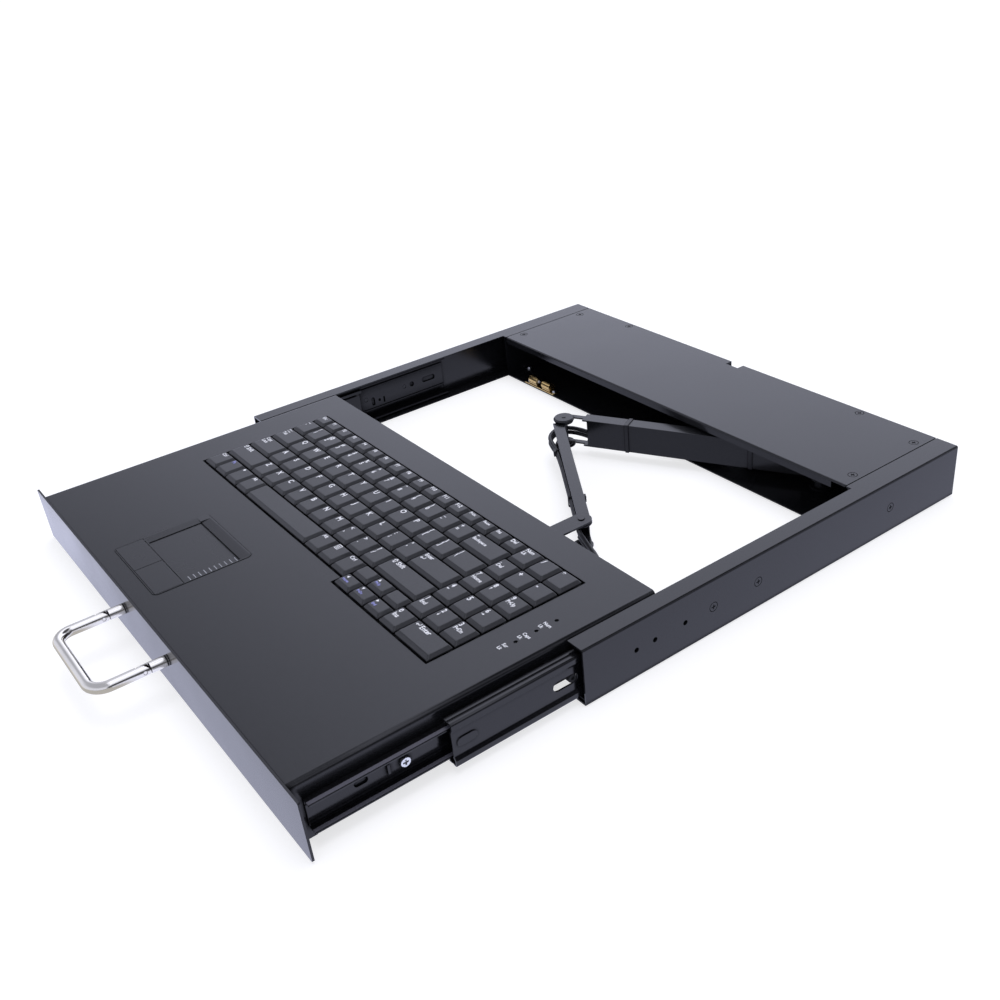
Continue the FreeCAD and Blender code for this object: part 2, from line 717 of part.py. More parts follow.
for i, (sx, sy) in enumerate(spots):
    cover_tools.append(flat_seat("cover_seat%s" % "abcdef"[i], "Z", "frame_height",
                                 "(frame_height - frame_steel)", sx, sy))
    heads.append(flat_screw("cover_screw%s" % "abcdef"[i], "Z", "frame_height",
                            "(frame_height - frame_steel)", sx, sy))
keep("rear_cover", cut("rear_cover", cover, cover_tools))
keep("cover_screws", group("cover_screws", heads))

# Brass ball catch on the floor of the tray: base, two barrels, two sprung balls
catch_low = "(frame_steel + tray_steel)"
barrel_z = "(frame_steel + tray_steel + catch_plate + barrel_radius)"
barrel_y = "(box_front + 0.2 + catch_depth / 2)"
catch = [box("catch_base", "-catch_x - catch_half", "-catch_x + catch_half", "box_front + 0.2",
             "box_front + 0.2 + catch_depth", catch_low, catch_low + " + catch_plate")]
bores = []
for word, sign, near, far in (("right", "+", "barrel_near", "barrel_far"),
                              ("left", "-", "barrel_far", "barrel_near")):
    catch.append(prism("catch_barrel_" + word, "X", "barrel_radius", "-catch_x %s %s" % (sign, near),
                       "-catch_x %s %s" % (sign, far), barrel_y, barrel_z, 20))
    catch.append(box("catch_foot_" + word, "-catch_x %s %s" % (sign, near), "-catch_x %s %s" % (sign, far),
                     barrel_y + " - barrel_radius * 0.8", barrel_y + " + barrel_radius * 0.8",
                     catch_low, barrel_z))
    inner_stop = "(barrel_far - 2)"
    ends = ("barrel_near - 1", inner_stop) if sign == "+" else (inner_stop, "barrel_near - 1")
    bores.append(prism("catch_bore_" + word, "X", "ball_radius + ball_play",
                       "-catch_x %s (%s)" % (sign, ends[0]), "-catch_x %s (%s)" % (sign, ends[1]),
                       barrel_y, barrel_z))
    bores.append(prism("catch_fix_" + word, "Z", "1.3", "0", "frame_steel + tray_steel + catch_plate + 1",
                     "-catch_x %s (barrel_far + 3.2)" % sign, barrel_y))
keep("catch_body", cut("catch_body", fuse("catch_blank", catch), bores))
for word, sign in (("right", "+"), ("left", "-")):
    # A ball is made as a stack of turned steps with flats
    steps = []
    for i, (deep, wide) in enumerate((("1", "0.4"), ("0.85", "0.7"), ("0.5", "0.95"))):
        steps.append(prism("ball_%s_step%d" % (word, i), "X", "ball_radius * %s" % wide,
                           "-catch_x %s ball_centre - ball_radius * %s" % (sign, deep),
                           "-catch_x %s ball_centre + ball_radius * %s" % (sign, deep), barrel_y,
                           barrel_z, 16))
    keep("catch_ball_" + word, fuse("catch_ball_" + word, steps))

# Drawer: an inverted folded tray with the keyboard and touch pad openings in its top
face_y = "(-drawer_out)"
shell_front = "(panel_thick - drawer_out)"
shell_rear = "(drawer_depth - drawer_out)"
shell = profile("drawer_section", "XZ_Plane", [
    ("0.001", "drawer_low"),
    ("drawer_steel", "drawer_low"),
    ("drawer_steel", "drawer_top - drawer_steel"),
    ("drawer_width - drawer_steel", "drawer_top - drawer_steel"),
    ("drawer_width - drawer_steel", "drawer_low"),
    ("drawer_width", "drawer_low"),
    ("drawer_width", "drawer_top"),
    ("0.001", "drawer_top")],
    "drawer_depth - panel_thick", ("-drawer_width / 2", shell_front, "0"),
    [((6, 7), "drawer_bend"), ((2, 3), "drawer_bend - drawer_steel")])
solids = [shell,
          box("drawer_front_fold", "-drawer_width / 2 + drawer_bend", "drawer_width / 2 - drawer_bend",
              shell_front, shell_front + " + drawer_steel", "drawer_low", "drawer_top - drawer_steel"),
          box("drawer_rear_fold", "-drawer_width / 2 + drawer_bend", "drawer_width / 2 - drawer_bend",
              shell_rear + " - drawer_steel", shell_rear, "drawer_top - rear_fold",
              "drawer_top - drawer_steel")]
for word, sign in (("right", ""), ("left", "-")):
    pair = ("drawer_width / 2 - drawer_steel", "drawer_width / 2")
    if sign:
        pair = ("-drawer_width / 2", "-drawer_width / 2 + drawer_steel")
    solids.append(box("drawer_tab_" + word, pair[0], pair[1], face_y + " + 4", face_y + " + 11",
                      "drawer_tab_low", "drawer_low"))
k_left = "(-key_left - opening_edge)"
k_right = "(18 * key_pitch - key_left + opening_edge)"
k_step = "(12 * key_pitch - key_left - opening_edge)"
k_front = "(key_front - opening_edge - drawer_out)"
k_rear = "(key_front + 5 * key_row + function_row + opening_edge - drawer_out)"
k_bump = "(pad_front - opening_edge - drawer_out)"
t_fit = "touch_fit"


def keyboard_area(name, grow, low, high):
    return fuse(name, [box(name + "_main", "%s - (%s)" % (k_left, grow), "%s + (%s)" % (k_right, grow),
                           "%s - (%s)" % (k_front, grow), "%s + (%s)" % (k_rear, grow), low, high),
                       box(name + "_step", "%s - (%s)" % (k_step, grow), "%s + (%s)" % (k_right, grow),
                           "%s - (%s)" % (k_bump, grow), "%s + (%s)" % (k_rear, grow), low, high)])


drawer_tools = [keyboard_area("drawer_key_opening", "0", "drawer_top - drawer_steel - 1",
                              "drawer_top + 1"),
                profile("drawer_touch_opening", "XY_Plane",
                        [("0.001", "0.001"), ("touch_left - touch_right", "0.001"),
                         ("touch_left - touch_right", "touch_rear - touch_front"),
                         ("0.001", "touch_rear - touch_front")], "drawer_steel + 2",
                        ("-touch_left", "touch_front - drawer_out", "drawer_top - drawer_steel - 1"),
                        [((0, 1, 2, 3), "touch_corner")])]
for i in range(3):
    drawer_tools.append(prism("drawer_lamp%s" % "abc"[i], "Z", "lamp_hole / 2",
                              "drawer_top - drawer_steel - 1", "drawer_top + 1", "lamp_x",
                              "lamp_first + %d * lamp_pitch - drawer_out" % i))
for word, sign in (("right", ""), ("left", "-")):
    ends = ("drawer_width / 2 - drawer_steel - 1", "drawer_width / 2 + 1")
    if sign:
        ends = ("-drawer_width / 2 - 1", "-drawer_width / 2 + drawer_steel + 1")
    drawer_tools.append(box("drawer_access_" + word, ends[0], ends[1], "access_front - drawer_out",
                            "access_rear - drawer_out", "drawer_low - 1", "access_high"))
    for item in ("slide_screw_y", "slide_screw_rear"):
        drawer_tools.append(prism("drawer_%s_%s" % (item, word), "X", "screw_shank / 2", ends[0], ends[1],
                                  "-" + item, middle_z))
keep("drawer_tray", cut("drawer_tray", fuse("drawer_blank", solids), drawer_tools))

panel = profile("front_panel", "XZ_Plane",
                [("0.001", "0.001"), ("panel_width", "0.001"), ("panel_width", "panel_height"),
                 ("0.001", "panel_height")], "panel_thick", ("-panel_width / 2", face_y, "panel_low"),
                [((0, 1, 2, 3), "1")])
keep("front_panel", panel)

# Keyboard pan and membrane below the opening
under = "(drawer_top - drawer_steel)"
bed = "(drawer_top - key_sunk - key_travel - key_clear)"
keep("keyboard_pan", cut("keyboard_pan", keyboard_area("pan_outside", "pan_edge", "pan_low", under),
                         [fuse("pan_hollow", [
                             keyboard_area("pan_seat", "0.3", bed + " - membrane_thick", under + " + 1"),
                             keyboard_area("pan_well", "-pan_ledge", "pan_low + pan_steel", bed)])]))
stems = []


# Keys: tapered caps, each set out in pitches from the left and in rows from the front
def key(name, left, width, front, depth):
    made = doc.addObject("Part::Wedge", name + "_top")
    turn(made, Vector(1, 0, 0), 90)
    x_low = "key_pitch * %s - key_left + key_gap / 2" % left
    y_low = "%s - drawer_out + key_gap / 2" % front
    place(made, x_low, y_low, "drawer_top - key_sunk + key_skirt")
    wide = "(key_pitch * %s - key_gap)" % width
    deep = "(%s - key_gap)" % depth
    bind(made, "Xmin", "0")
    bind(made, "Xmax", wide)
    bind(made, "Ymin", "0")
    bind(made, "Ymax", "key_sunk + key_rise - key_skirt")
    bind(made, "Zmin", "-" + deep)
    bind(made, "Zmax", "0")
    bind(made, "X2min", "key_side")
    bind(made, "X2max", wide + " - key_side")
    bind(made, "Z2min", "key_back - " + deep)
    bind(made, "Z2max", "-key_face")
    x_mid = "(%s + %s / 2)" % (x_low, wide)
    y_mid = "(%s + %s / 2)" % (y_low, deep)
    stem = box(name + "_stem", x_mid + " - stem_wide / 2", x_mid + " + stem_wide / 2",
               y_mid + " - stem_deep / 2", y_mid + " + stem_deep / 2", bed + " - membrane_thick",
               "drawer_top - key_sunk")
    skirt = box(name + "_skirt", x_low, "%s + %s" % (x_low, wide), y_low, "%s + %s" % (y_low, deep),
                "drawer_top - key_sunk", "drawer_top - key_sunk + key_skirt")
    return fuse(name, [made, skirt, stem])


def key_row_of(name, widths, front, depth, left=0.0, more=(), slit=True):
    made = []
    ends = [left + widths[0] / 2.0, left + sum(widths) - widths[-1] / 2.0]
    for i, width in enumerate(widths):
        made.append(key("%s_cap%d" % (name, i), "%.4f" % left, "%.4f" % width, front, depth))
        left += width
    for i, (along, width) in enumerate(more):
        made.append(key("%s_far%d" % (name, i), "%.4f" % along, "%.4f" % width, front, depth))
        ends[1] = along + width / 2.0
    if slit:
        y_mid = "(%s - drawer_out + %s / 2)" % (front, depth)
        stems.append(box(name + "_slit", "key_pitch * %.4f - key_left - stem_wide / 2 - stem_fit" % ends[0],
                         "key_pitch * %.4f - key_left + stem_wide / 2 + stem_fit" % ends[1],
                         y_mid + " - stem_deep / 2 - stem_fit", y_mid + " + stem_deep / 2 + stem_fit",
                         bed + " - membrane_thick - 1", bed + " + 1"))
    keep(name, group(name, made))


def row(i):
    return "(key_front + %d * key_row)" % i


def pad(i):
    return "(pad_front + %d * pad_row)" % i


key_row_of("keys_function", [15.0 / 17] * 17, row(5), "function_row")
key_row_of("keys_number", [1] * 13 + [2], row(4), "key_row")
key_row_of("keys_upper", [1.5] + [1] * 12 + [1.5], row(3), "key_row")
key_row_of("keys_home", [1.75] + [1] * 11 + [2.25], row(2), "key_row")
key_row_of("keys_lower", [2.25] + [1] * 10 + [2.75], row(1), "key_row")
key_row_of("keys_control", [1] * 4, row(0), "key_row", 0.0, [(9.0, 1), (10.0, 1), (11.0, 1)])
key_row_of("key_space", [5], row(0), "key_row", 4.0, (), False)
key_row_of("keys_arrow_front", [1] * 3, "pad_front", "arrow_row", 12.0)
key_row_of("keys_arrow_rear", [1] * 3, "(pad_front + arrow_row)", "arrow_row", 12.0)
key_row_of("keys_pad_zero", [1, 2], pad(0), "pad_row", 15.0)
key_row_of("keys_pad_low", [1] * 3, pad(1), "pad_row", 15.0)
key_row_of("keys_pad_mid", [1] * 3, pad(2), "pad_row", 15.0)
key_row_of("keys_pad_high", [1] * 3, pad(3), "pad_row", 15.0)
key_row_of("keys_pad_sign", [1] * 3, pad(4), "pad_row", 15.0)
key_row_of("keys_pad_lock", [1] * 3, pad(5), "pad_row", 15.0)
keep("key_membrane",
     cut("key_membrane", keyboard_area("membrane_sheet", "0.1", bed + " - membrane_thick", bed), stems))

# Touch pad: bezel, sunk surface, two buttons
t_top = "(drawer_top + touch_rise)"
bezel = profile("touch_blank", "XY_Plane",
                [("0.001", "0.001"), ("touch_left - touch_right - 2 * touch_fit", "0.001"),
                 ("touch_left - touch_right - 2 * touch_fit", "touch_rear - touch_front - 2 * touch_fit"),
                 ("0.001", "touch_rear - touch_front - 2 * touch_fit")], "touch_deep + touch_rise",
                ("-touch_left + touch_fit", "touch_front + touch_fit - drawer_out",
                 "drawer_top - touch_deep"), [((0, 1, 2, 3), "touch_corner - touch_fit")])
flange = box("touch_flange", "-touch_left - 3", "-touch_right + 3", "touch_front - 3 - drawer_out",
             "touch_rear + 3 - drawer_out", "drawer_top - touch_deep", under)
slopes = [profile("touch_ramp_rear", "YZ_Plane",
                  [("0.001", "surface_sunk * 0.4"), ("touch_rear - surface_rear - 1.5", "surface_sunk"),
                   ("touch_rear - surface_rear - 1.5", "surface_sunk * 1.3"),
                   ("0.001", "surface_sunk * 1.3")], "surface_left - surface_right",
                  ("-surface_left", "surface_rear - drawer_out", t_top + " - surface_sunk")),
          profile("touch_ramp_left", "XZ_Plane",
                  [("0.001", "surface_sunk"), ("touch_left - surface_left - 1.5", "surface_sunk * 0.4"),
                   ("touch_left - surface_left - 1.5", "surface_sunk * 1.3"),
                   ("0.001", "surface_sunk * 1.3")], "surface_rear - surface_front",
                  ("-touch_left + 1.5", "surface_front - drawer_out", t_top + " - surface_sunk"))]
b_low = "(drawer_top - button_thick)"
keep("touch_bezel",
     cut("touch_bezel", fuse("touch_whole", [bezel, flange]),
         [box("touch_pocket", "-surface_left", "-surface_right", "surface_front - drawer_out",
              "surface_rear - drawer_out", t_top + " - surface_sunk - surface_thick", t_top + " + 1"),
          box("touch_button_well", "-button_left - button_fit", "-surface_right + button_fit",
              "button_front - button_fit - drawer_out", "button_rear + button_fit - drawer_out",
              b_low + " - 1.1", t_top + " + 1")] + slopes))
keep("touch_surface",
     box("touch_surface", "-surface_left", "-surface_right", "surface_front - drawer_out",
         "surface_rear - drawer_out", t_top + " - surface_sunk - surface_thick",
         t_top + " - surface_sunk"))
keep("touch_button_left",
     box("touch_button_left", "-button_left", "-button_split - button_slit / 2",
         "button_front - drawer_out", "button_rear - drawer_out", b_low, t_top))
keep("touch_button_right", box("touch_button_right", "-button_split + button_slit / 2", "-surface_right",
                               "button_front - drawer_out", "button_rear - drawer_out", b_low, t_top))
lamps = []
for i in range(3):
    lamps.append(prism("lamp%s" % "abc"[i], "Z", "lamp_hole / 2 - lamp_fit", "drawer_top - 5",
                       "drawer_top - 0.9", "lamp_x", "lamp_first + %d * lamp_pitch - drawer_out" % i))
board = box("lamp_board", "lamp_x - 4", "lamp_x + 4", "lamp_first - 6 - drawer_out",
            "lamp_first + 2 * lamp_pitch + 6 - drawer_out", "drawer_top - 6.2", "drawer_top - 5")
foot = box("lamp_foot", "lamp_x - 4", "lamp_x + 4", "lamp_first + lamp_pitch / 2 - 1.5 - drawer_out",
           "lamp_first + lamp_pitch / 2 + 1.5 - drawer_out", "drawer_top - 5", under)
keep("lamp_set", fuse("lamp_set", lamps + [board, foot]))

# Folding handle: two posts on the panel, half-lapped hinges, a bent bow
h_z = "handle_height"
h_y = "(-drawer_out - handle_hinge)"
posts = []
pins = []
bow = []
bow_tools = []
for word, sign in (("right", ""), ("left", "-")):
    hx = sign + "handle_half"
    stem = rod("post_stem_" + word, "Y", "handle_rod", h_y + " + handle_lap", face_y, hx, h_z)
    lap = rod("post_lap_rod_" + word, "Y", "handle_rod", h_y, h_y + " + handle_lap", hx, h_z)
    disc = rod("post_disc_" + word, "X", "handle_disc", hx + " - handle_rod", hx + " - handle_slit", h_y,
               h_z)
    keepbox = box("post_side_" + word, hx + " - handle_rod", hx + " - handle_slit", h_y + " - handle_rod",
                  h_y + " + handle_lap", h_z + " - handle_rod", h_z + " + handle_rod")
    round_rod = rod("post_round_" + word, "Y", "handle_rod", h_y + " - handle_rod", h_y + " + handle_lap",
                    hx, h_z)
    tongue = common("post_tongue_" + word, fuse("post_tongue_solid_" + word, [lap, disc]),
                    common("post_half_" + word, keepbox, round_rod))
    hole = rod("post_hole_" + word, "X", "handle_pin", hx + " - 5", hx + " + 5", h_y, h_z)
    ring = cut("post_ring_" + word,
               rod("post_ring_wide_" + word, "Y", "handle_rod + 1", "-drawer_out - ring_set - ring_wide",
                   "-drawer_out - ring_set", hx, h_z),
               [rod("post_ring_core_" + word, "Y", "handle_rod - ring_deep",
                    "-drawer_out - ring_set - 2 * ring_wide", "-drawer_out - ring_set + ring_wide", hx,
                    h_z)])
    posts.append(cut("post_" + word, fuse("post_whole_" + word, [stem, tongue]), [hole, ring]))
    pins.append(rod("handle_pin_" + word, "X", "handle_pin", hx + " - 3.3", hx + " + 3.3", h_y, h_z))
    b_lap = rod("bow_lap_rod_" + word, "Y", "handle_rod", h_y + " - handle_lap", h_y, hx, h_z)
    b_disc = rod("bow_disc_" + word, "X", "handle_disc", hx + " + handle_slit", hx + " + handle_rod", h_y,
                 h_z)
    b_box = box("bow_side_" + word, hx + " + handle_slit", hx + " + handle_rod", h_y + " - handle_lap",
                h_y + " + handle_rod", h_z + " - handle_rod", h_z + " + handle_rod")
    b_rod = rod("bow_round_" + word, "Y", "handle_rod", h_y + " - handle_lap", h_y + " + handle_rod", hx,
                h_z)
    b_tongue = common("bow_tongue_" + word, fuse("bow_tongue_solid_" + word, [b_lap, b_disc]),
                      common("bow_half_" + word, b_box, b_rod))
    leg = rod("bow_leg_" + word, "Y", "handle_rod", "-drawer_out - handle_reach + handle_bend",
              h_y + " - handle_lap", hx, h_z)
    elbow = doc.addObject("Part::Torus", "bow_bend_" + word)
    bind(elbow, "Radius1", "handle_bend")
    bind(elbow, "Radius2", "handle_rod")
    elbow.Angle3 = 90
    turn(elbow, Vector(0, 0, 1), 270 if word == "right" else 180)
    place(elbow, "handle_half - handle_bend" if word == "right" else "handle_bend - handle_half",
          "-drawer_out - handle_reach + handle_bend", h_z)
    bow += [b_tongue, leg, elbow]
    bow_tools.append(rod("bow_hole_" + word, "X", "handle_pin + pin_play", hx + " - 5", hx + " + 5", h_y,
                         h_z))
bow.append(rod("bow_bar", "X", "handle_rod", "handle_bend - handle_half", "handle_half - handle_bend",
               "-drawer_out - handle_reach", h_z))
keep("handle_posts", fuse("handle_posts", posts + pins))
keep("handle_bow", cut("handle_bow", fuse("bow_blank", bow), bow_tools))

# Catch strike: a hanger under the rear fold with a tongue that enters between the balls
strike_low = "(%s - 2)" % barrel_z
keep("catch_strike",
     fuse("catch_strike",
          [box("strike_hanger", "-catch_x - strike_wide", "-catch_x + strike_wide",
               shell_rear + " - drawer_steel - 1.2", shell_rear + " - drawer_steel", strike_low, under),
           box("strike_tongue", "-catch_x - strike_half", "-catch_x + strike_half",
               shell_rear + " - drawer_steel - 1.2", shell_rear + " - 2.5 + strike_reach", strike_low,
               "%s + 2" % barrel_z),
           rod("strike_nose", "Z", "strike_half", strike_low, "%s + 2" % barrel_z, "-catch_x",
               shell_rear + " - 2.5 + strike_reach")]))

# Cable arm: the rear link is a folded channel with lugs, built along x from the elbow and then turned
long_rear = "sqrt((rear_pivot_x - elbow_x)^2 + (rear_pivot_y - elbow_y)^2)"
long_front = "sqrt((front_pivot_x - elbow_x)^2 + (front_pivot_y - elbow_y)^2)"
angle_rear = "atan2(rear_pivot_y - elbow_y; rear_pivot_x - elbow_x)"
angle_front = "atan2(front_pivot_y - elbow_y; front_pivot_x - elbow_x)"


def turned(made, angle):
    made.Placement = Placement(Vector(0, 0, 0), Rotation(Vector(0, 0, 1), 10))
    bind(made, "Placement.Rotation.Angle", angle)
    place(made, "elbow_x", "elbow_y", "0")
    return made


r_near = "link_set"
r_far = "(link_set + link_wide)"
levels = (("low", "link_low", "link_low + link_steel"), ("high", "link_high - link_steel", "link_high"))
link = [box("rear_wall", "link_start", long_rear + " - 16", r_near, "link_set + link_steel", "link_low",
            "link_high")]
for word, z0, z1 in levels:
    link.append(box("rear_flange_" + word, "link_start - 4", long_rear, r_near, r_far, z0, z1))
    link.append(box("rear_neck_" + word, "0", "link_start", "3.6", "lug_radius", z0, z1))
    link.append(rod("rear_lug_elbow_" + word, "Z", "lug_radius", z0, z1, "0", "0"))
    link.append(rod("rear_lug_frame_" + word, "Z", "lug_radius", z0, z1, long_rear, "0"))
link_tools = [rod("rear_bore_elbow", "Z", "elbow_pin", "link_low - 1", "link_high + 1", "0", "0"),
              rod("rear_bore_frame", "Z", "post_pin + pin_play", "link_low - 1", "link_high + 1",
                  long_rear, "0")]
keep("arm_rear_link", turned(cut("arm_rear_link", fuse("rear_link_blank", link), link_tools), angle_rear))

clips = []
for word in ("clip_first", "clip_second"):
    ring = box("ring_" + word, word + " - clip_wide / 2", word + " + clip_wide / 2",
               "link_set - clip_thick", r_far + " + clip_thick", "link_low - clip_thick",
               "link_high + clip_thick")
    clips.append(cut("cut_" + word, ring,
                     [box("bore_" + word, word + " - clip_wide", word + " + clip_wide", r_near, r_far,
                          "link_low", "link_high")]))
keep("arm_clips", turned(group("arm_clips", clips), angle_rear))

elbow_parts = [rod("elbow_shaft", "Z", "elbow_pin", "link_low", "link_high", "elbow_x", "elbow_y"),
               cone("elbow_head", "Z", "lug_radius", "lug_radius - 1", "link_high", "link_high + 1.2",
                    "elbow_x", "elbow_y"),
               rod("elbow_centre", "Z", "1.6", "link_high + 1.2", "link_high + 1.6", "elbow_x",
                   "elbow_y"),
               rod("elbow_foot", "Z", "elbow_pin + 2", "link_low - 1", "link_low", "elbow_x", "elbow_y")]
keep("arm_elbow_pin", fuse("arm_elbow_pin", elbow_parts))

# Front link: a narrower channel between the lugs, its pivot at the elbow on the inner edge
f_low = "(link_low + link_steel + link_play)"
f_high = "(link_high - link_steel - link_play)"
f_near = "(-bar_set)"
f_far = "(-bar_set - bar_wide)"
angle_bar = "(%s + bar_skew * 1 deg)" % angle_front
end_x = "(%s * cos(bar_skew * 1 deg))" % long_front
end_y = "(-%s * sin(bar_skew * 1 deg))" % long_front
bar = [box("front_wall", "14", end_x + " - 12", "-bar_set - link_steel", f_near, f_low, f_high)]
for word, z0, z1 in (("low", f_low, f_low + " + link_steel"), ("high", f_high + " - link_steel", f_high)):
    bar.append(box("front_flange_" + word, "4", end_x, f_far, f_near, z0, z1))
    bar.append(rod("front_lug_elbow_" + word, "Z", "lug_radius - 1", z0, z1, "0", "0"))
    bar.append(rod("front_lug_strap_" + word, "Z", "lug_radius - 1", z0, z1, end_x, end_y))
bar_tools = [rod("front_bore_elbow", "Z", "elbow_pin + pin_play", f_low + " - 1", f_high + " + 1", "0",
                 "0")]
keep("arm_front_link", turned(cut("arm_front_link", fuse("front_link_blank", bar), bar_tools), angle_bar))

keep("arm_post",
     fuse("arm_post",
          [rod("post_foot", "Z", "post_collar + 3", catch_low, catch_low + " + 1.5", "rear_pivot_x",
               "rear_pivot_y"),
           rod("post_collar_rod", "Z", "post_collar", catch_low, "link_low - post_play", "rear_pivot_x",
               "rear_pivot_y"),
           rod("post_shaft", "Z", "post_pin", catch_low, "link_high + 0.9", "rear_pivot_x",
               "rear_pivot_y")]))

s_low = "(%s + link_play)" % f_high
keep("arm_strap",
     fuse("arm_strap",
          [box("strap_plate", "front_pivot_x - strap_wide / 2", "front_pivot_x + strap_wide / 2",
               shell_rear + " - strap_under", "front_pivot_y", s_low, s_low + " + strap_steel"),
           rod("strap_end", "Z", "strap_wide / 2", s_low, s_low + " + strap_steel", "front_pivot_x",
               "front_pivot_y"),
           rod("strap_rivet", "Z", "2.2", s_low + " + strap_steel", s_low + " + strap_steel + 0.7",
               "front_pivot_x", "front_pivot_y"),
           box("strap_hanger", "front_pivot_x - strap_wide / 2", "front_pivot_x + strap_wide / 2",
               shell_rear + " - strap_under", shell_rear + " - strap_under + strap_steel", s_low,
               under)]))
doc.recompute()


# Cables: six-sided cords along straight runs joined by tangent arcs, two side by side
def number(name):
    return float(sheet.get(name))


def round_path(points, bend):
    edges = []
    start = points[0]
    for i in range(1, len(points) - 1):
        corner = points[i]
        back = (points[i - 1] - corner).normalize()
        ahead = (points[i + 1] - corner).normalize()
        between = back.getAngle(ahead)
        if math.pi - between < 0.001:
            continue
        reach = min(bend / math.tan(between / 2), 0.48 * (points[i - 1] - corner).Length,
                    0.48 * (points[i + 1] - corner).Length)
        radius = reach * math.tan(between / 2)
        first = corner + back * reach
        last = corner + ahead * reach
        bisector = (back + ahead).normalize()
        middle_point = corner + bisector * (radius / math.sin(between / 2) - radius)
        edges.append(Part.makeLine(start, first))
        edges.append(Part.Arc(first, middle_point, last).toShape())
        start = last
    edges.append(Part.makeLine(start, points[-1]))
    return Part.Wire(edges)


def cord(points, radius, bend):
    path = round_path(points, bend)
    along = points[1] - points[0]
    across = Vector(-along.y, along.x, 0).normalize()
    up = along.cross(across).normalize()
    corners = []
    for i in range(7):
        angle = math.pi * i / 3
        corners.append(points[0] + across * (radius * math.cos(angle)) + up * (radius * math.sin(angle)))
    ring = Part.makePolygon(corners)
    return path.makePipeShell([ring], True, False)


def cords(name, points):
    step = number("cable_step")
    shapes = []
    for i in range(2):
        shifted = [Vector(p.x, p.y, p.z + i * step) for p in points]
        shapes.append(cord(shifted, number("cable_radius"), number("cable_bend")))
    made = doc.addObject("Part::Feature", name)
    made.Shape = Part.makeCompound(shapes)
    keep(name, made)


elbow_at = Vector(number("elbow_x"), number("elbow_y"), 0)
front_at = Vector(number("front_pivot_x"), number("front_pivot_y"), 0)
rear_at = Vector(number("rear_pivot_x"), number("rear_pivot_y"), 0)
skew = math.radians(number("bar_skew"))
along_rear = (rear_at - elbow_at).normalize()
side_rear = Vector(-along_rear.y, along_rear.x, 0)
plain_front = (front_at - elbow_at).normalize()
along_front = Vector(plain_front.x * math.cos(skew) - plain_front.y * math.sin(skew),
                     plain_front.x * math.sin(skew) + plain_front.y * math.cos(skew), 0)
side_front = Vector(-along_front.y, along_front.x, 0)
rear_length = (rear_at - elbow_at).Length
front_length = (front_at - elbow_at).Length
level = Vector(0, 0, number("cable_low"))


def by_rear(along, aside):
    return elbow_at + along_rear * along + side_rear * aside + level


def by_front(along, aside):
    return elbow_at + along_front * along + side_front * aside + level


lie_rear = number("link_set") + number("link_steel") + number("cable_radius") + number("cable_rest")
lie_front = -number("bar_set") - number("link_steel") - number("cable_radius") - number("cable_rest")
under_pan = number("pan_low") - number("cable_step") - number("cable_radius")
part_of = number("link_start") / 20
cords("cable_rear",
      [by_rear(21 * part_of, lie_rear), by_rear(60 * part_of, lie_rear),
       by_rear(rear_length - 20 * part_of, lie_rear), by_rear(rear_length + part_of, 9.4 * part_of)])
cords("cable_elbow", [by_rear(20.4 * part_of, lie_rear), by_rear(9 * part_of, 8 * part_of),
                      by_rear(-10.5 * part_of, 4 * part_of), by_front(part_of, -11 * part_of),
                      by_front(16 * part_of, -16.5 * part_of), by_front(30 * part_of, -20 * part_of),
                      by_front(46 * part_of, -15 * part_of), by_front(57 * part_of, lie_front),
                      by_front(63 * part_of, lie_front)])
cords("cable_front", [by_front(63.6 * part_of, lie_front), by_front(80 * part_of, lie_front),
                      by_front(front_length - 10 * part_of, lie_front)])
lead_x = number("drawer_width") / 2 - number("lead_edge") + 15
edge_y = number("drawer_depth") - number("drawer_out")
cords("cable_drawer",
      [by_front(front_length - 2, -6.4), by_front(front_length + 6, -6),
       Vector(lead_x - 12, edge_y + 15.7, number("cable_low")),
       Vector(lead_x, edge_y - 8, number("cable_low") + 6),
       Vector(lead_x, edge_y - number("lead_under") + 20, under_pan),
       Vector(lead_x, edge_y - number("lead_under"), under_pan)])
socket_y = number("frame_depth") - number("tray_steel") - number("socket_deep") / 2
socket_end = number("frame_width") / 2 - number("socket_edge")
cords("cable_box",
      [rear_at + level + Vector(9, 12, 0), rear_at + level + Vector(20, 30, 0),
       Vector(socket_end + 48, socket_y, number("cable_low")),
       Vector(socket_end, socket_y, number("cable_low"))])
socket = doc.addObject("Part::Box", "cable_socket")
bind(socket, "Length", "socket_wide")
bind(socket, "Width", "socket_deep")
bind(socket, "Height", "cable_step + 8")
place(socket, "frame_width / 2 - socket_edge - socket_wide", "frame_depth - tray_steel - socket_deep",
      "cable_low - 4")
keep("cable_socket", socket)

doc.recompute()
for thing in doc.Objects:
    if "Invalid" in thing.State or "Error" in thing.State:
        raise RuntimeError("not built: " + thing.Name)
os.makedirs("parts", exist_ok=True)
for name in sorted(nodes):
    shape = nodes[name].Shape
    if shape.isNull() or not shape.isValid() or shape.Volume <= 0:
        raise RuntimeError("bad shape: " + name)
    shape.exportStep(os.path.join("parts", name + ".step"))
print("nodes", len(nodes))
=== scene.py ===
import math

import bmesh
import bpy
from mathutils import Matrix, Vector


